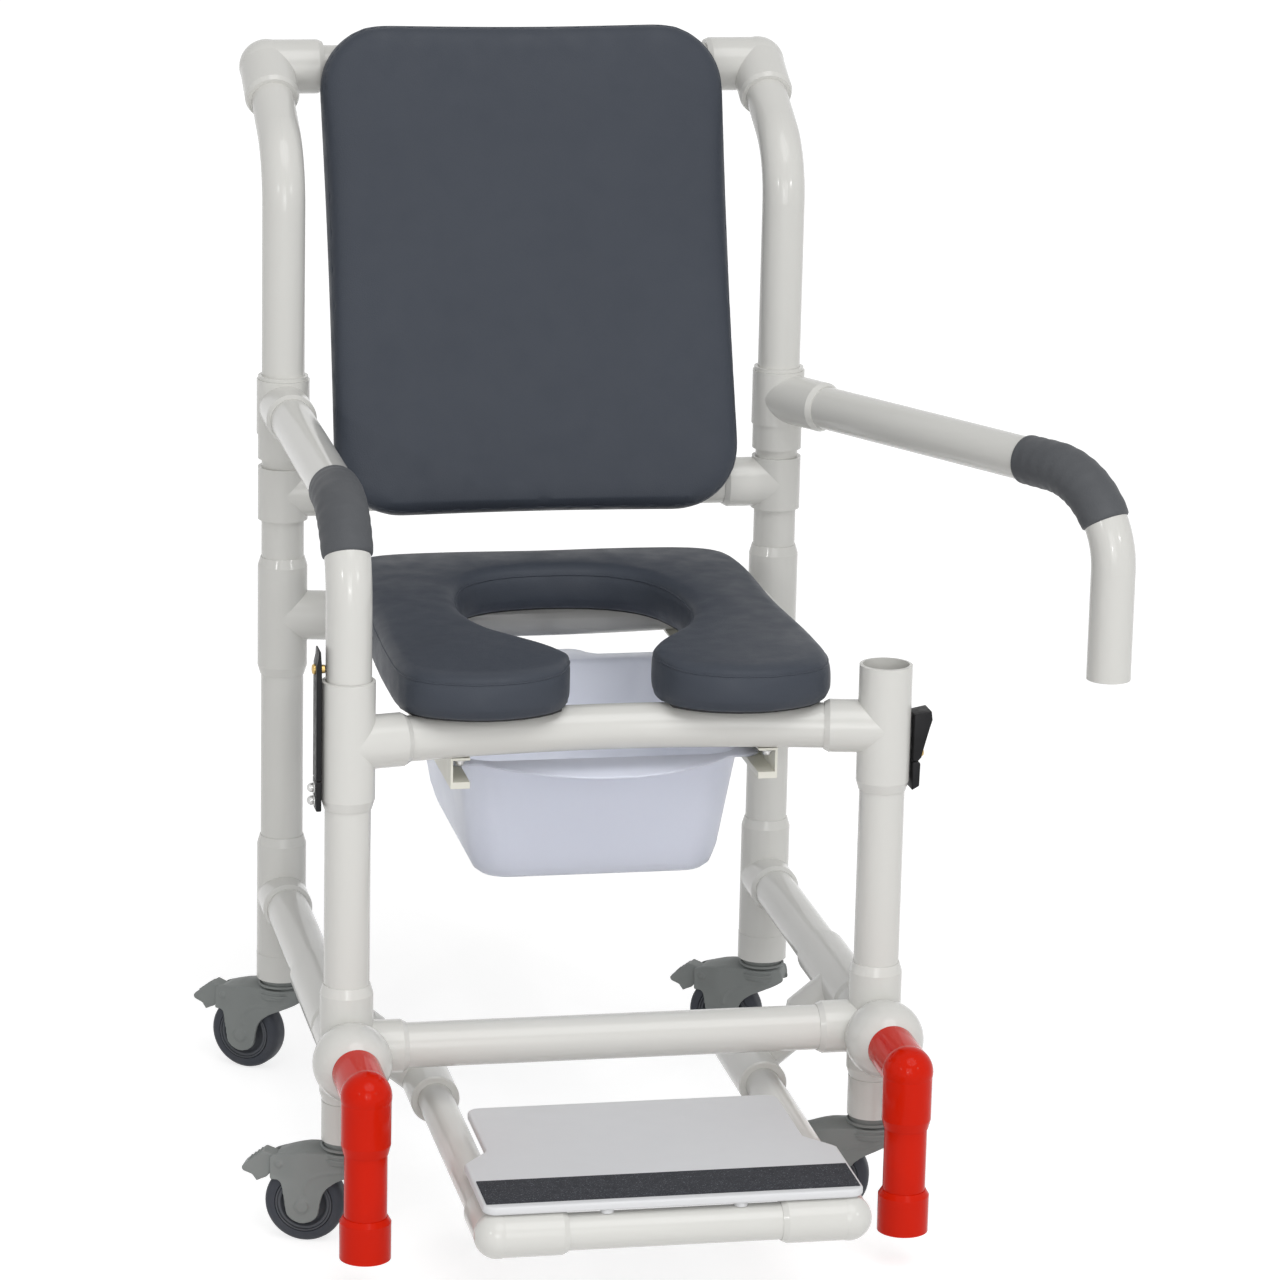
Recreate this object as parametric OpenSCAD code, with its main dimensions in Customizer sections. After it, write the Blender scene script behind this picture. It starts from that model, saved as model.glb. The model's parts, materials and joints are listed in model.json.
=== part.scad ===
// Commode chair of white pipe on four locking casters.
// Millimetres, +Z up, floor at Z 0, the sitter faces -Y, +X is the right side seen from the front.

/* [Frame] */
// Distance between the left and right posts
post_span = 500; // [480:1:520]
// Distance between the front and rear posts
post_depth = 476; // [470:1:490]
// Outside diameter of the frame pipe
pipe_d = 42.2; // [41.8:0.1:42.4]
// Wall of the frame pipe
pipe_wall = 3.6; // [3:0.1:4.5]
// Outside diameter of the pipe fittings
fitting_d = 49.4; // [49:0.1:50.5]
// Length of a fitting's branch from the axis of its run
branch_len = 56; // [52:1:60]
// Height of the lower rails
rail_z = 189; // [186:1:192]
// Height of the seat bars
seat_bar_z = 480; // [476:1:484]
// Height of the lower back bar
back_bar_z = 605; // [602:1:608]
// How far each seat bar's ends turn towards the middle of the seat, in degrees
bar_turn = 11; // [8:0.5:12]

/* [Push handle] */
// Distance of the push handle behind the rear posts
handle_back = 137; // [130:1:145]
// Height of the push handle
handle_z = 1008; // [1000:1:1020]
// Angle between the rake of the uprights and the vertical, in degrees
rake = 62; // [58:1:64]
// Bend radius of the uprights
rake_r = 75; // [70:1:80]
// Outside diameter of the handle elbows
handle_fitting_d = 54; // [52:0.5:56]

/* [Arms] */
// Height of the arm tubes
arm_z = 692.5; // [690:0.5:696]
// Bend radius of the arm tubes
arm_bend_r = 85; // [80:1:90]
// Height of the lower end of the arm tubes
arm_end_z = 502; // [500:1:506]
// How far the right arm is swung out, in degrees
arm_swing = 29.2; // [20:0.1:60]
// Wall of the soft sleeve on each arm
sleeve_wall = 2.6; // [2:0.1:3.5]

/* [Seat and back] */
// Underside of the seat board
seat_z = 502; // [501.5:0.5:504]
// Thickness of the seat and back boards
board_t = 8; // [6:1:9]
// Thickness of the seat cushion above its board
seat_pad_t = 41; // [36:1:46]
// Width of the back cushion
back_w = 410; // [400:1:414]
// Height of the back cushion along its slope
back_h = 492; // [480:1:500]
// How far the back cushion hangs below the lower back bar
back_drop = 32; // [28:1:36]
// Thickness of the back cushion
back_pad_t = 33; // [28:1:38]
// Corner radius of the back cushion
back_corner_r = 66; // [50:1:70]

/* [Pail] */
// Length of the pail rails
pail_rail_len = 446; // [440:1:450]
// Distance between the webs of the pail rails, inside
rail_gap = 302; // [300:0.2:304]
// Height of the pail's floor
pail_floor_z = 316; // [310:1:330]
// Wall of the pail
pail_wall = 3; // [2:0.5:4]

/* [Footrest] */
// Distance between the footrest tubes
foot_span = 315; // [312:1:318]
// Height of the footrest tubes
foot_z = 114; // [113:0.5:115]
// Distance from the middle of the frame to the footrest's front tube
foot_reach = 532; // [526:1:538]
// Outside diameter of the footrest tubes
foot_tube_d = 33.4; // [33:0.1:33.6]
// Thickness of the foot plate
plate_t = 8; // [6:1:9]

/* [Anti-tip legs] */
// Distance of the anti-tip legs in front of the front posts
tip_reach = 132; // [126:1:134]
// Height of the anti-tip legs' ends above the floor
tip_clear = 35; // [25:1:45]
// Outside diameter of the anti-tip legs' pipe
tip_d = 39.4; // [38:0.1:42]

/* [Casters] */
// Diameter of the caster wheels
wheel_d = 75; // [74:0.5:76]
// Distance of the wheel axle behind the swivel axis
trail = 37; // [36:0.5:38]
// Height of the caster, from the floor to the end of the leg
caster_h = 101; // [101:0.5:103]

/* [Hidden] */
$fn = 64;

white = "whitesmoke";
slate = "#4a4e57";
caster_grey = "#85898c";
dark_grey = "#4d5054";
red = "#d92b12";
pale_blue = "#b9bec9";
steel = "silver";
brass = "#b08d3c";
black = "#1c1c1e";

// Round sizes shared by the pipes and fittings
post_x = post_span / 2;
post_y = post_depth / 2;
pipe_r = pipe_d / 2;
pipe_bore = pipe_r - pipe_wall;
fit_r = fitting_d / 2;
lip_r = pipe_r + 0.9;
glue_gap = 0.05;
run_gap = 0.1;
body_gap = 0.4;
socket_r = pipe_r + glue_gap;
pipe_stop = pipe_r + 5;
taper = 9;
lip_taper = 5;
cut = 1;

// Heights and lengths of the fittings
hub_up = 63;
hub_down = 50;
rear_down = 61;
hub_ball_r = 36.7;
hub_ball_at = 42;
hub_rim = 1;
hub_mouth = hub_ball_at + sqrt(pow(hub_ball_r, 2) - pow(socket_r + hub_rim, 2));
knuckle = 0.6;
seat_tee_half = 60;
back_tee_half = 26.5;
collar_h = 25;
arm_tee_half = 27.2;
coupling_r = [22.6, 25];
coupling_top = [rail_z - hub_down - glue_gap, rail_z - rear_down - glue_gap];
pipe_end_z = caster_h + 11;
arm_socket_r = pipe_r + 0.5;
front_post_top = seat_bar_z - pipe_stop;

// Seat bars: straight ends in the tees, then one arc
bar_straight = 62;
bar_half_chord = post_x - bar_straight * cos(bar_turn);
bar_arc_r = bar_half_chord / sin(bar_turn);
bar_bow = bar_straight * sin(bar_turn) + bar_arc_r * (1 - cos(bar_turn));

// Uprights: straight, bent, then raked into the handle elbows
rake_len = (handle_back - rake_r * (1 - cos(rake))) / sin(rake);
bend_z = handle_z - rake_len * cos(rake) - rake_r * sin(rake);
handle_y = post_y + handle_back;
handle_fit_r = handle_fitting_d / 2;
handle_socket = 55;

// Arms
arm_straight = post_depth - arm_bend_r;
arm_branch = 72;
bush_wall = 1.5;
bush_r = pipe_r + run_gap + bush_wall;
bush_flange_h = 3.5;
sleeve_lead = [20, 36];
sleeve_turn = 59;
stud_z = 551;
stud_hole_r = 4.2;

// Back plane: from the lower back bar to the push handle
back_lean = atan2(handle_back, handle_z - back_bar_z);
handle_s = norm([handle_back, handle_z - back_bar_z]);
back_board_n = pipe_r + 0.5;
back_pad_n = back_board_n + board_t + 0.1;

// Pail and its rails
rail_depth = 18;
rail_h = 29;
rail_wall = 2.2;
rail_foot = 6.2;
rail_top = seat_bar_z - pipe_r - 0.6;
rail_floor = rail_top - rail_h + rail_foot;
rim_z = rail_floor + body_gap;
rim_half = rail_gap / 2 - 1.7;
pail_top = [134, -168, 185, 36];
pail_base = [116, -150, 130, 34];
lip_bow = 58;
lip_chord = 236;
lip_r2 = (pow(lip_chord / 2, 2) + pow(lip_bow, 2)) / (2 * lip_bow);
rim_front = -174;
rim_rear = 206;
tab_w = 104;
tab_rear = 228;

// Footrest and the tees that carry it
foot_x = foot_span / 2;
foot_r = foot_tube_d / 2;
foot_fit_r = 20.2;
foot_bore = foot_r - 3.2;
foot_rear = -60;
sleeve_y = -115;
sleeve_run = [69, 50];
sleeve_r = 23.1;
rail_tee_run = [66, 96];
drop_fit_r = 21.7;
drop_branch = 57;
drop = [foot_x - post_x, foot_z - rail_z];
drop_len = norm(drop);
drop_angle = atan2(drop[0], drop[1]);
foot_socket = 62;
foot_stop = 26;
plate_z = foot_z + foot_fit_r + 0.8;
plate_front = -foot_reach - 9;
plate_step = -415;
plate_rear = -288;
plate_wide = 170.5;
plate_narrow = 146;
plate_corner = 12;
strip_w = 56;
strip_t = 1;

// Anti-tip legs
tip_y = -post_y - tip_reach;
tip_r = tip_d / 2;
tip_fit_r = tip_r + 3.1;
tip_drop = 54;
cap_r = tip_r + 3.9;
cap_h = 40;

// Latch straps
strap_in = fit_r + 1;
strap_t = 5;
strap_w = 24;
strap_foot = 420;
strap_flex = 448;
strap_tip = 570;
bolt_z = [428, 440];

// Casters
wheel_r = wheel_d / 2;
tread_r = 27;
tyre_half = 12;
axle_r = 5;
stem_r = 8;
collar_r = 20;
hood_top = 95;
hood_brow = 92;
hood_base = 78;
hood_r = 22.5;
hood_skirt = 14;
leg_in = 15;
leg_out = 19;
leg_end_r = 17;
pedal_at = [-60, 76];
pedal_boss_r = 5.5;
pedal_pin_r = 2.5;

// How far each caster has swivelled from pointing straight to the left
turn_fl = -20;
turn_fr = -16;
turn_rl = -35;
turn_rr = -30;

// A shape and its mirror image on the other side
module both_sides() {
    children();
    mirror([1, 0, 0]) children();
}

module ring(r, bore) {
    difference() {
        circle(r = r);
        circle(r = bore);
    }
}

// Straight pipe along +Z
module pipe(len, r = pipe_r, bore = pipe_bore) {
    linear_extrude(len) ring(r, bore);
}

// Pipe bend that starts at the origin along +Z and turns towards +Y
module pipe_bend(radius, angle, r = pipe_r, bore = pipe_bore) {
    translate([0, radius, 0])
        rotate([90, 0, -90])
            rotate_extrude(angle = angle, $fn = 96)
                translate([radius, 0]) ring(r, bore);
}

module point_x() { rotate([0, 90, 0]) children(); }
module point_back() { rotate([-90, 0, 0]) children(); }
module point_front() { rotate([90, 0, 0]) children(); }
module point_down() { rotate([180, 0, 0]) children(); }

// Outside of one socket of a fitting, with a tapered mouth
module socket(len, mouth = taper, r = fit_r, lip = lip_r) {
    cylinder(r = r, h = len - mouth);
    translate([0, 0, len - mouth]) cylinder(r1 = r, r2 = lip, h = mouth);
}

// Bore of one socket, from a stop to past its mouth
module bore(len, r = socket_r, stop = 0) {
    translate([0, 0, stop]) cylinder(r = r, h = len + cut - stop);
}

// Bore right through an upright run
module run_bore(down, up, r = socket_r) {
    translate([0, 0, -down - cut]) cylinder(r = r, h = down + up + 2 * cut);
}

// Round body of the front hub, cut off flat at the mouth of its socket
module hub_ball() {
    rotate_extrude($fn = 96) intersection() {
        translate([0, hub_ball_at]) circle(r = hub_ball_r);
        square([hub_ball_r, hub_mouth]);
    }
}

// Front hub: sockets for the post, the rails and, through a round body in front, the anti-tip elbow
module front_hubs() {
    color(white) both_sides() translate([post_x, -post_y, rail_z])
        difference() {
            union() {
                socket(hub_up);
                point_down() socket(hub_down);
                rotate([0, -90, 0]) socket(branch_len, lip_taper);
                point_back() socket(branch_len, lip_taper);
                point_front() hub_ball();
            }
            run_bore(hub_down, hub_up);
            rotate([0, -90, 0]) bore(branch_len);
            point_back() bore(branch_len);
            point_front() bore(hub_mouth);
        }
}

module front_post_pipes() {
    color(white) both_sides() translate([post_x, -post_y, pipe_end_z]) pipe(front_post_top - pipe_end_z);
}

// Seat tee at the origin with its branch turned by angle; the upper bore may be a loose socket
module seat_tee(angle, upper_r, upper_mouth) {
    difference() {
        union() {
            socket(seat_tee_half, upper_mouth);
            point_down() socket(seat_tee_half);
            rotate([0, 0, angle]) point_x() socket(branch_len, lip_taper);
        }
        bore(seat_tee_half, upper_r);
        point_down() bore(seat_tee_half);
        rotate([0, 0, angle]) point_x() bore(branch_len);
    }
}

module front_seat_tees() {
    color(white) both_sides() translate([post_x, -post_y, seat_bar_z])
        seat_tee(180 - bar_turn, arm_socket_r, 0.5);
}

// Bowed seat bar between two posts, bowing towards +Y
module seat_bar() {
    both_sides()
        translate([post_x, 0, 0])
            rotate([0, 0, 180 - bar_turn])
                translate([pipe_stop, 0, 0])
                    point_x() pipe(bar_straight - pipe_stop);
    translate([0, bar_bow - bar_arc_r, 0])
        rotate([0, 0, 90 - bar_turn])
            rotate_extrude(angle = 2 * bar_turn, $fn = 96)
                translate([bar_arc_r, 0]) ring(pipe_r, pipe_bore);
}

module front_seat_bar() {
    color(white) translate([0, -post_y, seat_bar_z]) seat_bar();
}

module lower_rails() {
    color(white) {
        translate([-post_x + pipe_stop, -post_y, rail_z]) point_x() pipe(post_span - 2 * pipe_stop);
        both_sides() translate([post_x, -post_y + pipe_stop, rail_z])
            point_back() pipe(post_depth - 2 * pipe_stop);
    }
}

// Upright, bend and raked length, with the raked length butted to the bend
module rear_uprights() {
    butt_gap = 0.02;
    color(white) both_sides() translate([post_x, post_y, 0]) {
        translate([0, 0, pipe_end_z]) pipe(bend_z - pipe_end_z);
        translate([0, 0, bend_z]) {
            pipe_bend(rake_r, rake);
            translate([0, rake_r, 0]) rotate([-rake, 0, 0]) translate([0, -rake_r, butt_gap])
                pipe(rake_len - pipe_stop - butt_gap);
        }
    }
}

module rear_lower_tees() {
    color(white) both_sides() translate([post_x, post_y, rail_z])
        difference() {
            union() {
                socket(hub_up);
                point_down() cylinder(r = fit_r, h = rear_down);
                point_front() socket(branch_len, lip_taper);
            }
            run_bore(rear_down, hub_up);
            point_front() bore(branch_len);
        }
}

module rear_seat_tees() {
    color(white) both_sides() translate([post_x, post_y, seat_bar_z])
        seat_tee(180 + bar_turn, socket_r, taper);
}

module back_tees() {
    color(white) both_sides() translate([post_x, post_y, back_bar_z])
        difference() {
            union() {
                translate([0, 0, -back_tee_half]) cylinder(r = fit_r, h = 2 * back_tee_half);
                rotate([0, -90, 0]) socket(branch_len, lip_taper);
            }
            run_bore(back_tee_half, back_tee_half);
            rotate([0, -90, 0]) bore(branch_len);
        }
}

module arm_collars() {
    color(white) both_sides() translate([post_x, post_y, arm_z - arm_tee_half - collar_h - 0.3])
        difference() {
            cylinder(r = fit_r, h = collar_h);
            run_bore(0, collar_h);
        }
}

// Handle elbow: drawn square, with sockets towards -X and -Z, and then raked with the uprights
module handle_elbows() {
    lip = handle_fit_r - 2;
    color(white) both_sides() translate([post_x, handle_y, handle_z]) rotate([-rake, 0, 0])
        difference() {
            union() {
                sphere(r = handle_fit_r + knuckle);
                rotate([0, -90, 0]) socket(handle_socket, lip_taper, handle_fit_r, lip);
                point_down() socket(handle_socket, lip_taper, handle_fit_r, lip);
            }
            rotate([0, -90, 0]) bore(handle_socket, socket_r, pipe_stop - cut);
            point_down() bore(handle_socket, socket_r, pipe_stop - cut);
        }
}

module rear_cross_bars() {
    straight = post_span - 2 * pipe_stop;
    color(white) {
        translate([-straight / 2, handle_y, handle_z]) point_x() pipe(straight);
        translate([-straight / 2, post_y, back_bar_z]) point_x() pipe(straight);
        translate([0, post_y, seat_bar_z]) mirror([0, 1, 0]) seat_bar();
    }
}

module caster_couplings() {
    color(white) both_sides() for (i = [0, 1]) translate([post_x, (2 * i - 1) * post_y, 0])
        difference() {
            translate([0, 0, caster_h]) cylinder(r = coupling_r[i], h = coupling_top[i] - caster_h);
            translate([0, 0, pipe_end_z - glue_gap]) bore(coupling_top[i] - pipe_end_z);
            translate([0, 0, caster_h - cut]) bore(pipe_end_z - caster_h, stem_r + glue_gap);
        }
}

// Turns +Z to the direction from a side rail down to the footrest sleeve
module point_drop() { rotate([0, drop_angle, 0]) children(); }

module rail_tees() {
    color(white) both_sides() translate([post_x, sleeve_y, rail_z])
        difference() {
            union() {
                point_front() socket(rail_tee_run[0], lip_taper);
                point_back() socket(rail_tee_run[1], lip_taper);
                point_drop() socket(drop_branch, lip_taper, drop_fit_r, foot_r + 1);
            }
            point_back() run_bore(rail_tee_run[0], rail_tee_run[1]);
            point_drop() bore(drop_branch, foot_r + glue_gap);
        }
}

module footrest_sleeves() {
    mouth = 1.5;
    color(white) both_sides() {
        translate([post_x, sleeve_y, rail_z]) point_drop()
            translate([0, 0, pipe_stop]) pipe(drop_len - foot_r - 4 - pipe_stop, foot_r, foot_bore);
        translate([foot_x, sleeve_y, foot_z])
            difference() {
                union() {
                    point_front() socket(sleeve_run[0], mouth, sleeve_r, sleeve_r - mouth);
                    point_back() socket(sleeve_run[1], mouth, sleeve_r, sleeve_r - mouth);
                    point_drop() point_down() socket(drop_branch, lip_taper, drop_fit_r, foot_r + 1);
                }
                point_back() run_bore(sleeve_run[0], sleeve_run[1], foot_r + run_gap);
                point_drop() point_down() bore(drop_branch, foot_r + glue_gap);
            }
    }
}

module anti_tip_elbows() {
    reach = tip_reach - hub_mouth - body_gap;
    spigot = 11;
    color(red) both_sides() translate([post_x, tip_y, rail_z])
        difference() {
            union() {
                sphere(r = tip_fit_r + knuckle);
                point_back() cylinder(r = tip_fit_r, h = reach);
                point_back() cylinder(r = pipe_r, h = reach + spigot);
                point_down() socket(tip_drop, taper, tip_fit_r, tip_r + 0.9);
            }
            translate([0, 0, -tip_drop]) cylinder(r = tip_r + glue_gap, h = tip_drop - pipe_stop);
        }
}

module anti_tip_legs() {
    color(red) both_sides() translate([post_x, tip_y, tip_clear + pipe_wall])
        pipe(rail_z - pipe_stop - tip_clear - pipe_wall - glue_gap, tip_r, tip_r - pipe_wall);
}

module anti_tip_caps() {
    color(red) both_sides() translate([post_x, tip_y, tip_clear])
        difference() {
            socket(cap_h, lip_taper, cap_r, tip_r + 0.9);
            translate([0, 0, pipe_wall - glue_gap]) bore(cap_h, tip_r + glue_gap);
        }
}

module caster_stems() {
    color(caster_grey) both_sides() for (y = [-post_y, post_y]) translate([post_x, y, 0]) {
        translate([0, 0, hood_base + 6]) cylinder(r = stem_r, h = pipe_end_z - hood_base - 6 - cut);
        translate([0, 0, hood_top + body_gap])
            cylinder(r = collar_r, h = caster_h - hood_top - 2 * body_gap);
    }
}

// Smooth curve through hand-set points, mirrored about the middle at its first point
function blend_at(a, b, c, d, t) =
    0.5 * (2 * b + (c - a) * t + (2 * a - 5 * b + 4 * c - d) * t * t + (3 * b - a - 3 * c + d) * t * t * t);
function half_curve(pts, n) = [
    for (i = [0:len(pts) - 2])
        for (k = [0:n - 1])
            blend_at(i == 0 ? [-pts[1][0], pts[1][1]] : pts[i - 1], pts[i], pts[i + 1],
                pts[min(i + 2, len(pts) - 1)], k / n),
    pts[len(pts) - 1]
];
function whole_curve(pts, n) = let (half = half_curve(pts, n), last = len(half) - 1) [
    for (i = [0:last - 1]) [-half[last - i][0], half[last - i][1]],
    for (i = [0:last]) half[i]
];

// Plan of the seat's right half, from the middle of the rear to the tip of the front lobe
seat_outer = [
    [0, 220], [110, 220], [182, 206], [201, 150], [204, 0], [207, -150], [199, -236], [149, -268],
    [95, -267], [54, -243], [40, -205]
];
seat_inner = [
    [0, 130], [52, 121], [86, 92], [102, 46], [106, 0], [103, -42], [91, -80], [72, -110], [54, -138],
    [43, -165], [39, -192]
];
seat_steps = 3;

module seat_board() {
    inset = 13;
    outer = whole_curve(seat_outer, seat_steps);
    inner = whole_curve(seat_inner, seat_steps);
    pairs = [for (i = [3:len(outer) - 4]) i];
    function toward(a, b) = a + inset * (b - a) / norm(b - a);
    color(black) translate([0, 0, seat_z]) linear_extrude(board_t)
        polygon(concat(
            [for (i = pairs) toward(outer[i], inner[i])],
            [for (i = pairs) let (k = len(outer) - 1 - i) toward(inner[k], outer[k])]));
}

// Section of the seat cushion as [distance from its edge, height], from the inner edge up and over
function seat_section(w) = let (e = min(1, w / 60), h = seat_pad_t) [
    [12 * e, 0], [3 * e, 5], [0, 16], [1.5 * e, 28], [10 * e, h - 3.6], [w * 0.3, h - 0.8], [w * 0.5, h],
    [w * 0.7, h - 0.8], [w - 10 * e, h - 3.6], [w - 1.5 * e, 28], [w, 16], [w - 3 * e, 5], [w - 12 * e, 0]
];

module seat_pad() {
    outer = whole_curve(seat_outer, seat_steps);
    inner = whole_curve(seat_inner, seat_steps);
    rings = len(outer);
    m = len(seat_section(100));
    points = [
        for (i = [0:rings - 1])
            let (across = outer[i] - inner[i], w = norm(across), u = across / w)
                for (s = seat_section(w)) [inner[i][0] + u[0] * s[0], inner[i][1] + u[1] * s[0], s[1]]
    ];
    sides = [
        for (i = [0:rings - 2])
            for (j = [0:m - 1])
                let (a = i * m + j, b = i * m + (j + 1) % m)
                    each [[a, a + m, b], [b, a + m, b + m]]
    ];
    caps = [
        for (j = [1:m - 2]) [0, j, j + 1],
        for (j = [1:m - 2]) let (z = (rings - 1) * m) [z, z + j + 1, z + j]
    ];
    color(slate) translate([0, 0, seat_z + board_t + 0.1]) polyhedron(points, concat(sides, caps));
}

// Frame of the back: X across, Y up the slope from the lower back bar, Z out of the front
module on_back() {
    translate([0, post_y, back_bar_z]) rotate([90 - back_lean, 0, 0]) children();
}

module rounded_rect(w, h, r) {
    square([w - 2 * r, h], center = true);
    square([w, h - 2 * r], center = true);
    for (x = [-1, 1], y = [-1, 1]) translate([x * (w / 2 - r), y * (h / 2 - r)]) circle(r = r);
}

module back_board() {
    inset = 10;
    color(black) on_back() translate([0, back_h / 2 - back_drop, back_board_n])
        linear_extrude(board_t) rounded_rect(back_w - 2 * inset, back_h - 2 * inset, back_corner_r - inset);
}

// Points of a rounded rectangle at height z, corner by corner
function rounded_ring(w, h, r, z, per_corner) = [
    for (q = [0:3])
        for (k = [0:per_corner - 1])
            let (a = 90 * q + 90 * k / (per_corner - 1),
                cx = (q == 0 || q == 3 ? 1 : -1) * (w / 2 - r),
                cy = (q < 2 ? 1 : -1) * (h / 2 - r))
                [cx + r * cos(a), cy + r * sin(a), z]
];

module back_pad() {
    per_corner = 12;
    t = back_pad_t;
    layers = [[9, 0], [2, 5], [0, 13], [1.5, t - 11], [9, t - 3.6], [40, t - 0.8], [110, t]];
    rings = [for (l = layers)
        rounded_ring(back_w - 2 * l[0], back_h - 2 * l[0], max(back_corner_r - l[0], 20), l[1], per_corner)];
    n = 4 * per_corner;
    last = len(layers) - 1;
    sides = [
        for (i = [0:last - 1])
            for (j = [0:n - 1])
                let (a = i * n + j, b = i * n + (j + 1) % n)
                    each [[a, a + n, b], [b, a + n, b + n]]
    ];
    caps = [
        for (j = [1:n - 2]) [0, j, j + 1],
        for (j = [1:n - 2]) [last * n, last * n + j + 1, last * n + j]
    ];
    color(slate) on_back() translate([0, back_h / 2 - back_drop, back_pad_n])
        polyhedron([for (r = rings) each r], concat(sides, caps));
}

// Screw along +Z with a round head at the origin
module screw(len, r, head_r, head_h) {
    cylinder(r = r, h = len);
    translate([0, 0, -head_h]) cylinder(r = head_r, h = head_h);
}

module frame_screws() {
    back_screw_x = 120;
    rail_screw_x = rail_gap / 2 - 7;
    rail_screw_y = post_y - bar_bow + (bar_arc_r - sqrt(pow(bar_arc_r, 2) - pow(rail_screw_x, 2)));
    bolt_out = 8;
    color(steel) both_sides() {
        for (s = [0, handle_s]) on_back() translate([back_screw_x, s, -pipe_r - 0.2])
            screw(2 * pipe_r + 4, 2.5, 5, 2.5);
        for (y = [-1, 1]) translate([rail_screw_x, y * rail_screw_y, rail_top - rail_wall - 0.2])
            screw(10, 2, 4, 2.2);
        for (z = bolt_z) translate([post_x + strap_in + strap_t + 0.2, -post_y, z])
            rotate([0, -90, 0]) screw(bolt_out, 2.5, 4.5, 4);
    }
}

module pail_rails() {
    out = rail_gap / 2 + rail_wall;
    color("ivory") both_sides()
        translate([out - rail_depth, pail_rail_len / 2, rail_top - rail_h])
            rotate([90, 0, 0])
                linear_extrude(pail_rail_len)
                    difference() {
                        square([rail_depth, rail_h]);
                        translate([-cut, rail_foot])
                            square([rail_depth - rail_wall + cut, rail_h - rail_wall - rail_foot]);
                    }
}

// Rounded block between two outlines of the pail, given as [half width, front, rear, corner radius]
module tub(base, top, base_z, top_z, shrink) {
    thin = 0.1;
    hull() for (level = [[base, base_z], [top, top_z - thin]])
        translate([0, 0, level[1]])
            for (x = [-1, 1], y = [level[0][1] + level[0][3], level[0][2] - level[0][3]])
                translate([x * (level[0][0] - level[0][3]), y, 0])
                    cylinder(r = level[0][3] - shrink, h = thin, $fn = 32);
}

module pail() {
    rim_t = 3;
    color(pale_blue)
        difference() {
            union() {
                tub(pail_base, pail_top, pail_floor_z, rim_z + rim_t, 0);
                translate([0, 0, rim_z]) linear_extrude(rim_t) {
                    translate([-rim_half, rim_front]) square([2 * rim_half, rim_rear - rim_front]);
                    translate([-tab_w / 2, rim_rear - cut]) square([tab_w, tab_rear - rim_rear + cut]);
                    intersection() {
                        translate([0, rim_front - lip_bow + lip_r2]) circle(r = lip_r2, $fn = 128);
                        translate([-lip_chord / 2, rim_front - lip_bow]) square([lip_chord, lip_bow + cut]);
                    }
                }
            }
            tub(pail_base, pail_top, pail_floor_z + pail_wall, rim_z + rim_t + cut, pail_wall);
        }
}

// Arm pieces are drawn closed, about the rear post, and then turned by the swing angle
module at_arm(side, swing) {
    translate([side * post_x, post_y, 0]) rotate([0, 0, swing]) children();
}

module arm_bush() {
    color(white) difference() {
        union() {
            translate([0, 0, arm_z - arm_tee_half]) cylinder(r = bush_r, h = 2 * arm_tee_half);
            translate([0, 0, arm_z + arm_tee_half + run_gap]) cylinder(r = fit_r, h = bush_flange_h);
            translate([0, 0, arm_z]) cylinder(r = bush_r, h = arm_tee_half + run_gap + bush_flange_h);
        }
        translate([0, 0, arm_z]) run_bore(arm_tee_half, arm_tee_half + 2 * bush_flange_h, pipe_r + run_gap);
    }
}

module arm_tee() {
    color(white) translate([0, 0, arm_z]) difference() {
        union() {
            translate([0, 0, -arm_tee_half]) cylinder(r = fit_r + 1.4, h = 2 * arm_tee_half);
            point_front() socket(arm_branch, lip_taper);
        }
        run_bore(arm_tee_half, arm_tee_half, bush_r + run_gap);
        point_front() bore(arm_branch);
    }
}

// Bend of an arm: starts at the origin along -Y and turns down
module arm_bend(r, bore_r, angle) {
    translate([0, 0, -arm_bend_r])
        rotate([180, -90, 0])
            rotate_extrude(angle = angle, $fn = 96)
                translate([arm_bend_r, 0]) ring(r, bore_r);
}

// Arm tube, drilled on its outer side for the latch stud
module arm_tube(side) {
    color(white) difference() {
        union() {
            translate([0, -pipe_stop, arm_z]) point_front() pipe(arm_straight - pipe_stop);
            translate([0, -arm_straight, arm_z]) arm_bend(pipe_r, pipe_bore, 90);
            translate([0, -post_depth, arm_end_z]) pipe(arm_z - arm_bend_r - arm_end_z);
        }
        translate([0, -post_depth, stud_z]) rotate([0, side * 90, 0])
            cylinder(r = stud_hole_r, h = 2 * pipe_r);
    }
}

module arm_sleeve(lead) {
    inner = pipe_r + 0.1;
    outer = pipe_r + sleeve_wall;
    color(slate) {
        translate([0, lead - arm_straight, arm_z]) point_front() pipe(lead, outer, inner);
        translate([0, -arm_straight, arm_z]) arm_bend(outer, inner, sleeve_turn);
    }
}

module left_arm_bush() { at_arm(-1, 0) arm_bush(); }
module left_arm_tee() { at_arm(-1, 0) arm_tee(); }
module left_arm_tube() { at_arm(-1, 0) arm_tube(-1); }
module left_arm_sleeve() { at_arm(-1, 0) arm_sleeve(sleeve_lead[0]); }
module right_arm_bush() { at_arm(1, arm_swing) arm_bush(); }
module right_arm_tee() { at_arm(1, arm_swing) arm_tee(); }
module right_arm_tube() { at_arm(1, arm_swing) arm_tube(1); }
module right_arm_sleeve() { at_arm(1, arm_swing) arm_sleeve(sleeve_lead[1]); }

// Latch outlines are drawn in the XZ plane, outwards from the post's axis, and given the strap's width
module strap_width() {
    translate([post_x, -post_y + strap_w / 2, 0]) rotate([90, 0, 0]) linear_extrude(strap_w) children();
}

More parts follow.
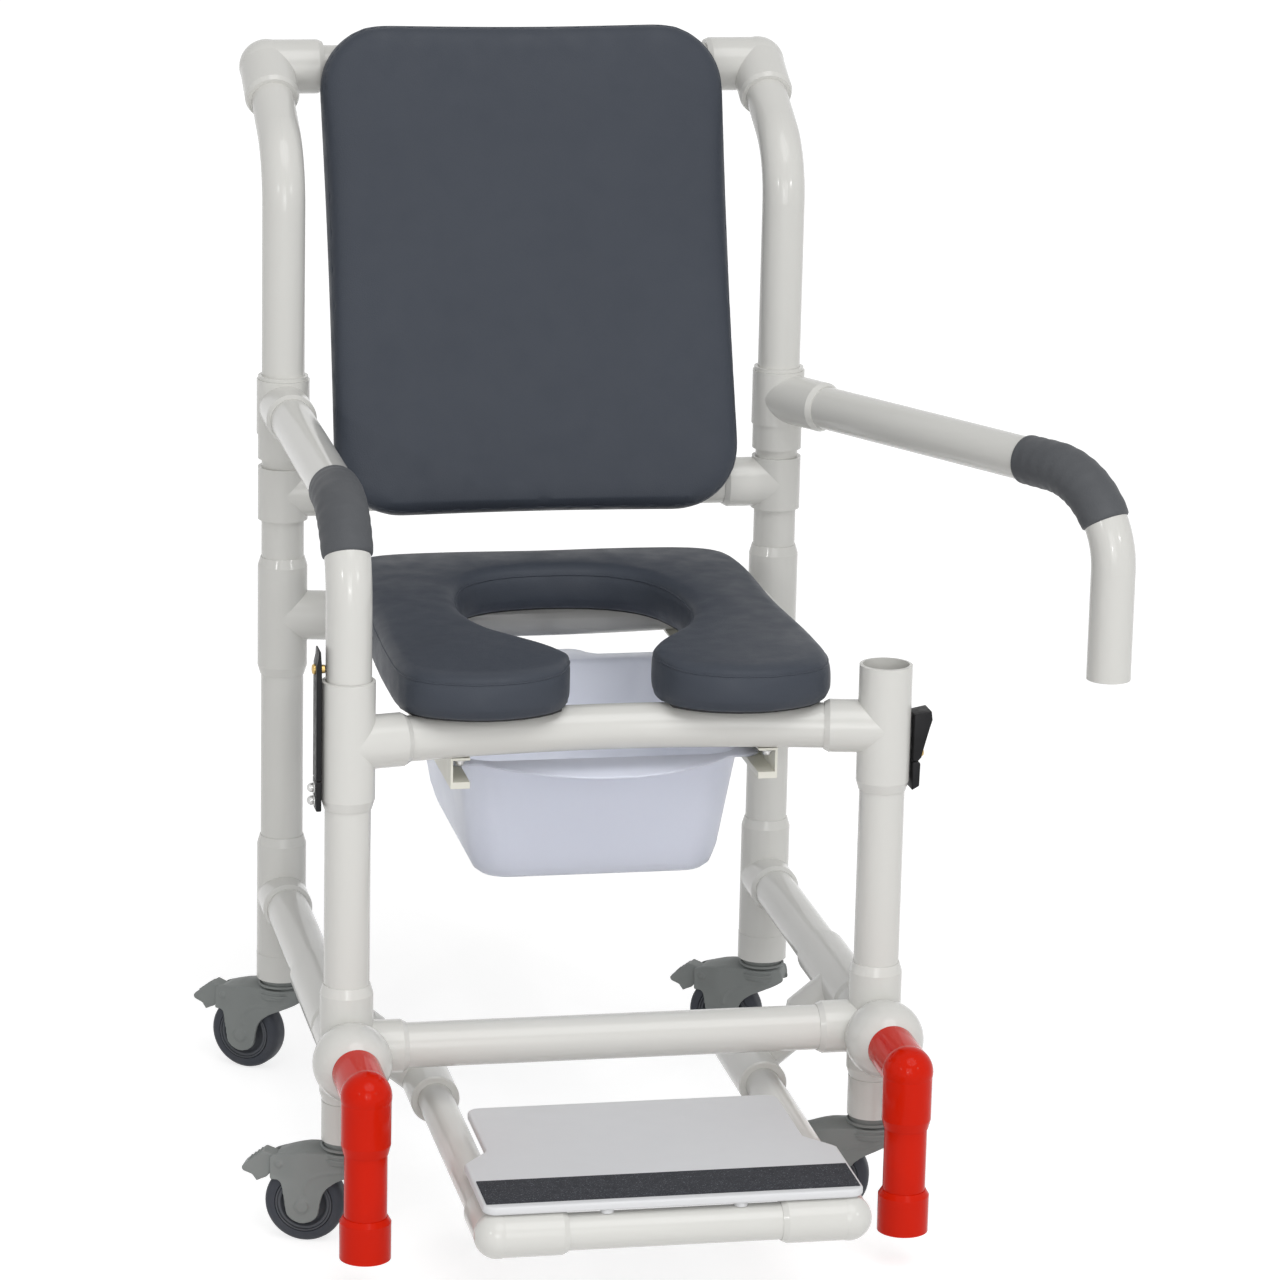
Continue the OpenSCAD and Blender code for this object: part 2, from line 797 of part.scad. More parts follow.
module latch_anchors() {
    color(black) both_sides() difference() {
        strap_width() translate([strap_in, strap_foot]) square([strap_t, strap_flex - strap_foot]);
        for (z = bolt_z) translate([post_x, -post_y, z])
            point_x() cylinder(r = 2.6, h = strap_in + 2 * strap_t);
    }
}

module left_latch_strap() {
    tip_t = 2;
    shoulder_z = 556;
    color(black) mirror([1, 0, 0]) difference() {
        strap_width() translate([strap_in, 0]) polygon([
            [0, strap_flex + body_gap], [strap_t, strap_flex + body_gap], [strap_t, shoulder_z],
            [strap_t - tip_t, strap_tip], [strap_t - 2 * tip_t, strap_tip], [0, shoulder_z]
        ]);
        translate([post_x, -post_y, stud_z]) point_x() cylinder(r = 3.1, h = strap_in + 2 * strap_t);
    }
}

// Stud on a strap: a shank through it and a round head on each face
module stud(in) {
    cylinder(r = 3, h = strap_t + 2);
    translate([0, 0, -in]) cylinder(r = 4, h = in - 0.2);
    translate([0, 0, strap_t + 0.2]) cylinder(r = 4.5, h = 3);
}

module left_latch_stud() {
    color(brass) mirror([1, 0, 0]) translate([post_x + strap_in, -post_y, stud_z]) point_x()
        stud(strap_in - pipe_r - body_gap);
}

// The released strap is bunched up above its anchor, wider towards the top
module right_latch_strap() {
    color(black) strap_width() translate([strap_in, 0]) polygon([
        [0, strap_flex + body_gap], [7.5, strap_flex + body_gap], [9, 457], [15, 479], [17.6, 487.6],
        [16.5, 496.3], [0, 493]
    ]);
}

module right_latch_stud() {
    color(brass) translate([post_x + strap_in + 9.9, -post_y, 454])
        rotate([0, 90, 0]) cylinder(r = 4, h = 3);
}

module footrest_tubes() {
    color(white) {
        both_sides() translate([foot_x, -foot_reach + foot_stop, foot_z])
            point_back() pipe(foot_rear + foot_reach - foot_stop, foot_r, foot_bore);
        translate([foot_stop - foot_x, -foot_reach, foot_z])
            point_x() pipe(foot_span - 2 * foot_stop, foot_r, foot_bore);
    }
}

module footrest_elbows() {
    color(white) both_sides() translate([foot_x, -foot_reach, foot_z])
        difference() {
            union() {
                sphere(r = foot_fit_r + knuckle);
                rotate([0, -90, 0]) socket(foot_socket, lip_taper, foot_fit_r, foot_r + 1);
                point_back() socket(foot_socket, lip_taper, foot_fit_r, foot_r + 1);
            }
            rotate([0, -90, 0]) bore(foot_socket, foot_r + glue_gap);
            point_back() bore(foot_socket, foot_r + glue_gap);
        }
}

// Foot plate seen from above: a wide front, slanted shoulders and a narrow rear with round corners
module plate_outline() {
    shoulder = plate_wide - plate_narrow;
    polygon([
        [-plate_wide, plate_front + plate_corner], [-plate_wide + plate_corner, plate_front],
        [plate_wide - plate_corner, plate_front], [plate_wide, plate_front + plate_corner],
        [plate_wide, plate_step - shoulder / 2], [plate_narrow, plate_step + shoulder / 2],
        [-plate_narrow, plate_step + shoulder / 2], [-plate_wide, plate_step - shoulder / 2]
    ]);
    for (x = [-1, 1]) translate([x * (plate_wide - plate_corner), plate_front + plate_corner])
        circle(r = plate_corner);
    translate([0, (plate_front + plate_rear) / 2])
        rounded_rect(2 * plate_narrow, plate_rear - plate_front, plate_corner);
}

module footrest_plate() {
    color(white) translate([0, 0, plate_z]) linear_extrude(plate_t) plate_outline();
}

module footrest_strip() {
    edge = 3;
    setback = 8;
    color(black) translate([edge - plate_wide, plate_front + setback, plate_z + plate_t + 0.05])
        cube([2 * (plate_wide - edge), strip_w, strip_t]);
}

module footrest_spacers() {
    base = foot_z + foot_r + 0.1;
    color(white) both_sides() for (at = [[foot_x, -458], [60, -foot_reach]])
        translate([at[0], at[1], base]) cylinder(r = 6, h = plate_z - base - 0.1);
}

// Casters: fork, wheel, tyre and pedal, drawn with the wheel towards -X of the swivel axis and then turned
module at_caster(x, y, turn) { translate([x * post_x, y * post_y, 0]) rotate([0, 0, turn]) children(); }

// Outline of the roof between the fork's sides, over the pedal's neck
roof_line = [[-64, 83.8], [-54, 88], [-44, 91]];

module fork_side() {
    difference() {
        union() {
            polygon([
                [18, hood_brow], [23.5, 89.5], [25, 84], [24.8, 78], [8, 69], [-6, 62], [-16, 53], [-20, 40],
                [-53.5, 42], [-57, 57], [-60, 60.3], [-66, 61.5], [-65.8, 70], [-66, 76], [-65.3, 82],
                [-54, 87.5], [-41, 91], [-30, hood_brow]
            ]);
            translate([-trail, wheel_r]) circle(r = leg_end_r);
        }
        translate([-trail, wheel_r]) circle(r = axle_r + glue_gap);
        translate(pedal_at) circle(r = pedal_pin_r + run_gap);
    }
}

module caster_fork() {
    color(caster_grey) {
        difference() {
            union() {
                for (y = [leg_out, -leg_in]) translate([0, y, 0]) rotate([90, 0, 0])
                    linear_extrude(leg_out - leg_in) fork_side();
                translate([-44, -leg_in, hood_base]) cube([64, 2 * leg_in, hood_brow - hood_base]);
                translate([0, leg_in, 0]) rotate([90, 0, 0]) linear_extrude(2 * leg_in)
                    polygon(concat(roof_line, [[-43, 91], [-43, 83.5], [-64, 83.5]]));
                translate([0, 0, hood_top - hood_skirt]) cylinder(r = hood_r, h = hood_skirt);
            }
            translate([0, 0, hood_base - cut])
                cylinder(r = stem_r + run_gap, h = hood_top - hood_base + 2 * cut);
        }
        translate([-trail, leg_out + 3, wheel_r]) point_front() cylinder(r = axle_r, h = 2 * leg_out + 6);
    }
}

module caster_wheel() {
    half = tyre_half - 1;
    color(dark_grey) translate([-trail, half, wheel_r]) point_front() difference() {
        cylinder(r = tread_r, h = 2 * half);
        translate([0, 0, -cut]) cylinder(r = axle_r + run_gap, h = 2 * half + 2 * cut);
    }
}

module caster_tyre() {
    crown = 4;
    color(black) translate([-trail, 0, wheel_r]) point_front() rotate_extrude() {
        translate([tread_r + glue_gap, -tyre_half])
            square([wheel_r - tread_r - crown - glue_gap, 2 * tyre_half]);
        translate([wheel_r - crown - 0.5, crown - tyre_half]) square([crown + 0.5, 2 * (tyre_half - crown)]);
        for (z = [-1, 1]) translate([wheel_r - crown, z * (tyre_half - crown)]) circle(r = crown);
    }
}

// Brake pedal: a barrel on a pin between the fork's sides and a narrow tread that slopes down
module caster_pedal() {
    slim = leg_in - 0.5;
    wide = 9;
    color(caster_grey) {
        translate([0, slim, 0]) rotate([90, 0, 0]) linear_extrude(2 * slim) {
            translate(pedal_at) circle(r = pedal_boss_r);
            polygon([[-60, 71], [-60, 81.4], [-65.5, 81.8], [-65.5, 69]]);
        }
        translate([0, wide, 0]) rotate([90, 0, 0]) linear_extrude(2 * wide)
            polygon([
                [-62, 81.6], [-66.8, 82.5], [-76, 85.5], [-94.5, 71], [-96.8, 68], [-95.5, 64.8],
                [-92, 63.5], [-86.5, 61.5], [-82.3, 55.6], [-77.5, 58], [-73, 60], [-69.5, 64], [-65, 70],
                [-62, 72]
            ]);
        translate([pedal_at[0], leg_out, pedal_at[1]])
            point_front() cylinder(r = pedal_pin_r, h = 2 * leg_out);
    }
}

module caster_fork_fl() { at_caster(-1, -1, turn_fl) caster_fork(); }
module caster_fork_fr() { at_caster(1, -1, turn_fr) caster_fork(); }
module caster_fork_rl() { at_caster(-1, 1, turn_rl) caster_fork(); }
module caster_fork_rr() { at_caster(1, 1, turn_rr) caster_fork(); }
module caster_wheel_fl() { at_caster(-1, -1, turn_fl) caster_wheel(); }
module caster_wheel_fr() { at_caster(1, -1, turn_fr) caster_wheel(); }
module caster_wheel_rl() { at_caster(-1, 1, turn_rl) caster_wheel(); }
module caster_wheel_rr() { at_caster(1, 1, turn_rr) caster_wheel(); }
module caster_tyre_fl() { at_caster(-1, -1, turn_fl) caster_tyre(); }
module caster_tyre_fr() { at_caster(1, -1, turn_fr) caster_tyre(); }
module caster_tyre_rl() { at_caster(-1, 1, turn_rl) caster_tyre(); }
module caster_tyre_rr() { at_caster(1, 1, turn_rr) caster_tyre(); }
module caster_pedal_fl() { at_caster(-1, -1, turn_fl) caster_pedal(); }
module caster_pedal_fr() { at_caster(1, -1, turn_fr) caster_pedal(); }
module caster_pedal_rl() { at_caster(-1, 1, turn_rl) caster_pedal(); }
module caster_pedal_rr() { at_caster(1, 1, turn_rr) caster_pedal(); }

front_hubs();
front_post_pipes();
front_seat_tees();
front_seat_bar();
lower_rails();
rear_uprights();
rear_lower_tees();
rear_seat_tees();
back_tees();
arm_collars();
handle_elbows();
rear_cross_bars();
caster_couplings();
rail_tees();
footrest_sleeves();
anti_tip_elbows();
anti_tip_legs();
anti_tip_caps();
caster_stems();
seat_board();
seat_pad();
back_board();
back_pad();
frame_screws();
pail_rails();
latch_anchors();
pail();
left_arm_bush();
left_arm_tee();
left_arm_tube();
left_arm_sleeve();
right_arm_bush();
right_arm_tee();
right_arm_tube();
right_arm_sleeve();
left_latch_strap();
left_latch_stud();
right_latch_strap();
right_latch_stud();
footrest_tubes();
footrest_elbows();
footrest_plate();
footrest_strip();
footrest_spacers();
caster_fork_fl();
caster_wheel_fl();
caster_tyre_fl();
caster_pedal_fl();
caster_fork_fr();
caster_wheel_fr();
caster_tyre_fr();
caster_pedal_fr();
caster_fork_rl();
caster_wheel_rl();
caster_tyre_rl();
caster_pedal_rl();
caster_fork_rr();
caster_wheel_rr();
caster_tyre_rr();
caster_pedal_rr();
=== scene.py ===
"""Looks of a commode chair: cushions, arm grips, pail, casters, latches, foot plate and finishes.

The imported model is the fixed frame. Every piece made here is in metres in the same frame: +Z up, floor at
Z 0, the sitter faces -Y and +X is the right-hand side seen from the front.
"""

import json
import logging
import math
from dataclasses import dataclass, field
from enum import Enum
from typing import Callable, Iterable, Sequence

import bmesh
import bpy
import numpy as np
from mathutils import Matrix, Vector
from mathutils.bvhtree import BVHTree

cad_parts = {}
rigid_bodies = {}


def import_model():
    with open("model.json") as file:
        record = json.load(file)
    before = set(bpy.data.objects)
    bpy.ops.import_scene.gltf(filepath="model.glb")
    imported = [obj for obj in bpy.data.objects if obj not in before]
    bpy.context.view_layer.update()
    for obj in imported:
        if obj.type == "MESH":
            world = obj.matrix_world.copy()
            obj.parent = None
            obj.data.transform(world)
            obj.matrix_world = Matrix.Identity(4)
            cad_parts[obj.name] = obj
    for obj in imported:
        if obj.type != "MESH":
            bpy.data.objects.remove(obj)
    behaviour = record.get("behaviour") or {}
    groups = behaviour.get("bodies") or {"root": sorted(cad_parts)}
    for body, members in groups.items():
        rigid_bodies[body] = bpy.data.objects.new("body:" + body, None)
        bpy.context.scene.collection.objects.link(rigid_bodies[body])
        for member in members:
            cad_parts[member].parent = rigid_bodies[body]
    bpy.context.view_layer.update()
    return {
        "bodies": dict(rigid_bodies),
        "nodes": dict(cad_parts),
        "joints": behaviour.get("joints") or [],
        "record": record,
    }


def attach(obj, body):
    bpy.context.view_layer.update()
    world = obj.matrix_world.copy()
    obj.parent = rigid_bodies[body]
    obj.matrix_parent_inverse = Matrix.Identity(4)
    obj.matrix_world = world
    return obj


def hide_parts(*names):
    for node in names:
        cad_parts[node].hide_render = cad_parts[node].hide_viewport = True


LOG = logging.getLogger("commode_chair")

Colour = tuple[float, float, float]
Point = tuple[float, float]
Piece = bpy.types.Object
Mesh = bpy.types.Mesh
Material = bpy.types.Material
Tree = bpy.types.NodeTree
Node = bpy.types.Node
Socket = bpy.types.NodeSocket
Outputs = bpy.types.NodeOutputs

# Axes of the four posts, outer radius of the pipe and slope of the back, in metres.
POST_X = 0.250
POST_Y = 0.238
PIPE_R = 0.0211
RAKE_RUN = 0.137
RAKE_RISE = 0.403

# Socket types, and the numbers of a Mix node's colour sockets.
COLOUR_SOCKET = "NodeSocketColor"
FLOAT_SOCKET = "NodeSocketFloat"
GEOMETRY_SOCKET = "NodeSocketGeometry"
MIX_FIRST, MIX_SECOND, MIX_RESULT = 6, 7, 2

# Scales of the patterns that every finish has alike, per metre, and the rounded edge of a pebble.
SMEAR_FINENESS = 3.7
PIT_SCALE = 1400.0
WARP_SCALE = 160.0
PEBBLE_EDGE = 0.28
DUST_SCALE = 45.0

# Limits of the mesh tools: metres, degrees and points at a time.
MERGE_DISTANCE = 1e-6
MOULD_SHARP = 50.0
BEVEL_ANGLE = 40.0
GROOVE_CHUNK = 64

# Sizes of a dome nut, as its recipe names them.
DOME_SIZES = ("Radius", "Rise", "Washer")


class Corner(Enum):
    """The four corners of the frame that carry a caster, as the ending of their node names."""

    FRONT_LEFT = "fl"
    FRONT_RIGHT = "fr"
    REAR_LEFT = "rl"
    REAR_RIGHT = "rr"

    @property
    def place(self) -> Vector:
        """Where the swivel axis of this corner's caster meets the floor."""
        x = -POST_X if self.value[1] == "l" else POST_X
        y = -POST_Y if self.value[0] == "f" else POST_Y
        return Vector((x, y, 0.0))

    @property
    def stand(self) -> Matrix:
        """The move from the origin to this corner, with the caster swivelled as photographed."""
        degrees = {"fl": -20.0, "fr": -16.0, "rl": -35.0, "rr": -30.0}[self.value]
        return Matrix.Translation(self.place) @ Matrix.Rotation(math.radians(degrees), 4, "Z")


class Side(Enum):
    """The two sides of the chair, as the sign of their X."""

    LEFT = -1
    RIGHT = 1

    @property
    def word(self) -> str:
        """The side's name as the node names spell it."""
        return self.name.lower()


# Node trees ---------------------------------------------------------------------------------------


def fill_inputs(tree: Tree, node: Node, links: dict[str | int, object]) -> None:
    """Fills a node's inputs.

    Args:
        tree: The tree that holds the node.
        node: The node.
        links: Input names or numbers, with the socket to link or the value to set.
    """
    for key, value in links.items():
        if isinstance(value, Socket):
            tree.links.new(value, node.inputs[key])
        else:
            node.inputs[key].default_value = value


def add_node(tree: Tree, kind: str, links: dict[str | int, object], **settings: object) -> Node:
    """Adds a node to a tree.

    Args:
        tree: The tree.
        kind: The node's type name.
        links: What fills its inputs.
        settings: Attributes set on the node before its inputs are filled.

    Returns:
        The new node.
    """
    made = tree.nodes.new(kind)
    for key, value in settings.items():
        setattr(made, key, value)
    fill_inputs(tree, made, links)
    return made


def opaque(value: float | Colour) -> float | tuple[float, ...]:
    """Adds an alpha of 1 to a colour and leaves a number as it is."""
    return (*value, 1.0) if isinstance(value, tuple) else value


def mix_colours(tree: Tree, share: Socket, first: Socket, second: object) -> Socket:
    """Mixes two colours.

    Args:
        tree: The tree.
        share: How much of the second colour shows.
        first: The colour at a share of 0.
        second: The colour at a share of 1, as a socket or a value.

    Returns:
        The mixed colour.
    """
    links = {0: share, MIX_FIRST: first, MIX_SECOND: second}
    return add_node(tree, "ShaderNodeMix", links, data_type="RGBA").outputs[MIX_RESULT]


class GroupMaker:
    """Builds one shader node group over the object's own coordinates."""

    def __init__(self, name: str, takes: dict[str, float | Colour], gives: dict[str, str]) -> None:
        """Starts a group.

        Args:
            name: The group's name in the file.
            takes: Names and defaults of its inputs, a colour where the default has three parts.
            gives: Names and socket types of its outputs.
        """
        self.tree = bpy.data.node_groups.new(name, "ShaderNodeTree")
        face = self.tree.interface
        for key, default in takes.items():
            kind = COLOUR_SOCKET if isinstance(default, tuple) else FLOAT_SOCKET
            face.new_socket(name=key, in_out="INPUT", socket_type=kind).default_value = opaque(default)
        for key, kind in gives.items():
            face.new_socket(name=key, in_out="OUTPUT", socket_type=kind)
        self.takes = self.tree.nodes.new("NodeGroupInput").outputs
        self.gives = self.tree.nodes.new("NodeGroupOutput").inputs
        self.place = self.tree.nodes.new("ShaderNodeTexCoord").outputs["Object"]

    def give(self, name: str, socket: Socket) -> None:
        """Links a socket to the group's output of that name."""
        self.tree.links.new(socket, self.gives[name])

    def math(self, operation: str, first: object, second: object) -> Socket:
        """Works out one step of arithmetic on two sockets or numbers."""
        return add_node(self.tree, "ShaderNodeMath", {0: first, 1: second}, operation=operation).outputs[0]

    def vector(self, operation: str, links: dict[str | int, object]) -> Socket:
        """Works out one step of arithmetic on vectors."""
        return add_node(self.tree, "ShaderNodeVectorMath", links, operation=operation).outputs["Vector"]

    def noise(self, scale: object, detail: float = 2.0, roughness: float = 0.5) -> Socket:
        """Spreads a noise over the object.

        Args:
            scale: Its scale, as a socket or a number.
            detail: Its number of octaves.
            roughness: How strong the finer octaves are.

        Returns:
            The noise, about 0.5.
        """
        links = {"Vector": self.place, "Scale": scale, "Detail": detail, "Roughness": roughness}
        return add_node(self.tree, "ShaderNodeTexNoise", links).outputs["Fac"]

    def ramp(
        self, value: object, start: float, stop: float, low: object = 0.0, high: object = 1.0,
        kind: str = "LINEAR",
    ) -> Socket:
        """Maps one range to another and stops at its ends.

        Args:
            value: The socket to map.
            start: The value that gives low.
            stop: The value that gives high.
            low: The result at the start, as a socket or a number.
            high: The result at the stop, as a socket or a number.
            kind: How it goes from one to the other.

        Returns:
            The result.
        """
        links = {"Value": value, "From Min": start, "From Max": stop, "To Min": low, "To Max": high}
        return add_node(self.tree, "ShaderNodeMapRange", links, interpolation_type=kind).outputs["Result"]


def surface_tone() -> Tree:
    """Makes the group that drifts a colour towards a second one and the gloss between two limits.

    Returns:
        A group with outputs Colour and Roughness.
    """
    maker = GroupMaker(
        "surface_tone",
        {
            "Colour": (0.5, 0.5, 0.5), "Shade": (0.4, 0.4, 0.4), "Scale": 8.0, "Contrast": 0.5, "Smooth": 0.2,
            "Rough": 0.4,
        },
        {"Colour": COLOUR_SOCKET, "Roughness": FLOAT_SOCKET},
    )
    takes = maker.takes
    cloud = maker.ramp(maker.noise(takes["Scale"], detail=4.0, roughness=0.55), 0.35, 0.68)
    amount = maker.math("MULTIPLY", cloud, takes["Contrast"])
    maker.give("Colour", mix_colours(maker.tree, amount, takes["Colour"], takes["Shade"]))
    smear = maker.noise(maker.math("MULTIPLY", takes["Scale"], SMEAR_FINENESS), detail=3.0)
    maker.give("Roughness", maker.ramp(smear, 0.3, 0.7, takes["Smooth"], takes["Rough"]))
    return maker.tree


def moulded_skin() -> Tree:
    """Makes the group with the faint waviness and fine pits of moulded or extruded plastic.

    Returns:
        A group with the output Height.
    """
    maker = GroupMaker("moulded_skin", {"Wave Scale": 60.0, "Pits": 0.3}, {"Height": FLOAT_SOCKET})
    pits = maker.math("MULTIPLY", maker.noise(PIT_SCALE, detail=1.0), maker.takes["Pits"])
    maker.give("Height", maker.math("ADD", maker.noise(maker.takes["Wave Scale"]), pits))
    return maker.tree


def vinyl_grain() -> Tree:
    """Makes the group with the pebbled cells of grained vinyl.

    Returns:
        A group with the output Height.
    """
    maker = GroupMaker("vinyl_grain", {"Scale": 420.0, "Warp": 0.0015}, {"Height": FLOAT_SOCKET})
    drift = add_node(maker.tree, "ShaderNodeTexNoise", {"Vector": maker.place, "Scale": WARP_SCALE})
    centred = maker.vector("SUBTRACT", {0: drift.outputs["Color"], 1: (0.5, 0.5, 0.5)})
    pull = maker.vector("SCALE", {0: centred, "Scale": maker.takes["Warp"]})
    cells = add_node(
        maker.tree,
        "ShaderNodeTexVoronoi",
        {"Vector": maker.vector("ADD", {0: maker.place, 1: pull}), "Scale": maker.takes["Scale"]},
        feature="DISTANCE_TO_EDGE",
    )
    maker.give("Height", maker.ramp(cells.outputs["Distance"], 0.0, PEBBLE_EDGE, kind="SMOOTHSTEP"))
    return maker.tree


def floor_dust() -> Tree:
    """Makes the group with the film of dust and scuffs that gathers near the floor.

    Returns:
        A group with the output Mask.
    """
    maker = GroupMaker("floor_dust", {"Reach": 0.12, "Amount": 0.25}, {"Mask": FLOAT_SOCKET})
    height = add_node(maker.tree, "ShaderNodeSeparateXYZ", {0: maker.place}).outputs["Z"]
    share = maker.math("DIVIDE", height, maker.takes["Reach"])
    low = maker.ramp(share, 0.0, 1.0, low=1.0, high=0.0, kind="SMOOTHSTEP")
    patches = maker.ramp(maker.noise(DUST_SCALE, detail=5.0), 0.38, 0.72)
    both = maker.math("MULTIPLY", low, patches)
    maker.give("Mask", maker.math("MULTIPLY", both, maker.takes["Amount"]))
    return maker.tree


@dataclass
class ShaderGroups:
    """The node groups that the finishes share, built once."""

    tone: Tree = field(default_factory=surface_tone)
    skin: Tree = field(default_factory=moulded_skin)
    grain: Tree = field(default_factory=vinyl_grain)
    dust: Tree = field(default_factory=floor_dust)


def place_group(tree: Tree, group: Tree, values: dict[str, float | Colour]) -> Outputs:
    """Puts a shared group into a material with its own values.

    Args:
        tree: The material's node tree.
        group: The group to place.
        values: Input names and their values.

    Returns:
        The group's outputs.
    """
    filled = {name: opaque(value) for name, value in values.items()}
    return add_node(tree, "ShaderNodeGroup", filled, node_tree=group).outputs


# Finishes -----------------------------------------------------------------------------------------


@dataclass(frozen=True)
class Finish:
    """One finish of the chair and the record's slot that it dresses."""

    slot: str
    colour: Colour
    shade: Colour
    smooth: float
    rough: float
    tone_scale: float = 9.0
    contrast: float = 0.5
    wave_scale: float = 60.0
    pits: float = 0.3
    bump: float = 0.08
    bump_depth: float = 0.0006
    metallic: float = 0.0
    specular: float = 0.5
    subsurface: float = 0.0
    subsurface_depth: float = 0.03
    dust_reach: float = 0.0
    dust_amount: float = 0.0
    dust_colour: Colour = (0.42, 0.40, 0.36)

    def height(self, tree: Tree, groups: ShaderGroups) -> Socket:
        """Places the relief of this finish.

        Args:
            tree: The material's node tree.
            groups: The shared groups.

        Returns:
            The socket with the height.
        """
        return place_group(tree, groups.skin, {"Wave Scale": self.wave_scale, "Pits": self.pits})["Height"]

    def tint(self, tree: Tree, colour: Socket) -> Socket:
        """Leaves the colour as it is; a finish with its own pattern changes it here."""
        return colour

    def material(self, groups: ShaderGroups) -> Material:
        """Builds the material.

        Args:
            groups: The shared groups.

        Returns:
            The material, named for its slot.
        """
        made = bpy.data.materials.new(f"finish_{self.slot}")
        made.use_nodes = True
        tree = made.node_tree
        tone = place_group(
            tree,
            groups.tone,
            {
                "Colour": self.colour,
                "Shade": self.shade,
                "Scale": self.tone_scale,
                "Contrast": self.contrast,
                "Smooth": self.smooth,
                "Rough": self.rough,
            },
        )
        colour = tone["Colour"]
        if self.dust_amount > 0:
            dust = place_group(tree, groups.dust, {"Reach": self.dust_reach, "Amount": self.dust_amount})
            colour = mix_colours(tree, dust["Mask"], colour, opaque(self.dust_colour))
        relief = {"Strength": self.bump, "Distance": self.bump_depth, "Height": self.height(tree, groups)}
        shader = tree.nodes["Principled BSDF"]
        shader.subsurface_method = "BURLEY"
        fill_inputs(
            tree,
            shader,
            {
                "Base Color": self.tint(tree, colour),
                "Roughness": tone["Roughness"],
                "Normal": add_node(tree, "ShaderNodeBump", relief).outputs["Normal"],
                "Metallic": self.metallic,
                "Specular IOR Level": self.specular,
                "Subsurface Weight": self.subsurface,
                "Subsurface Scale": self.subsurface_depth,
                "Subsurface Radius": (1.0, 1.0, 1.0),
            },
        )
        return made


@dataclass(frozen=True)
class VinylFinish(Finish):
    """Grained vinyl."""

    grain_scale: float = 420.0
    warp: float = 0.0015

    def height(self, tree: Tree, groups: ShaderGroups) -> Socket:
        """Places the pebbled grain.

        Args:
            tree: The material's node tree.
            groups: The shared groups.

        Returns:
            The socket with the height.
        """
        return place_group(tree, groups.grain, {"Scale": self.grain_scale, "Warp": self.warp})["Height"]


@dataclass(frozen=True)
class GritFinish(VinylFinish):
    """Grit tape: dark, with paler grains scattered over it."""

    grain_scale: float = 900.0
    warp: float = 0.0004
    grain_colour: Colour = (0.16, 0.17, 0.19)
    speck_range: Point = (0.60, 0.70)

    def tint(self, tree: Tree, colour: Socket) -> Socket:
        """Scatters paler grains over the colour.

        Args:
            tree: The material's node tree.
            colour: The colour so far.

        Returns:
            The colour with grains.
        """
        place = tree.nodes.new("ShaderNodeTexCoord").outputs["Object"]
        speck = add_node(tree, "ShaderNodeTexNoise", {"Vector": place, "Scale": self.grain_scale})
        start, stop = self.speck_range
        sharp = add_node(
            tree, "ShaderNodeMapRange", {"Value": speck.outputs["Fac"], "From Min": start, "From Max": stop}
        )
        return mix_colours(tree, sharp.outputs["Result"], colour, opaque(self.grain_colour))


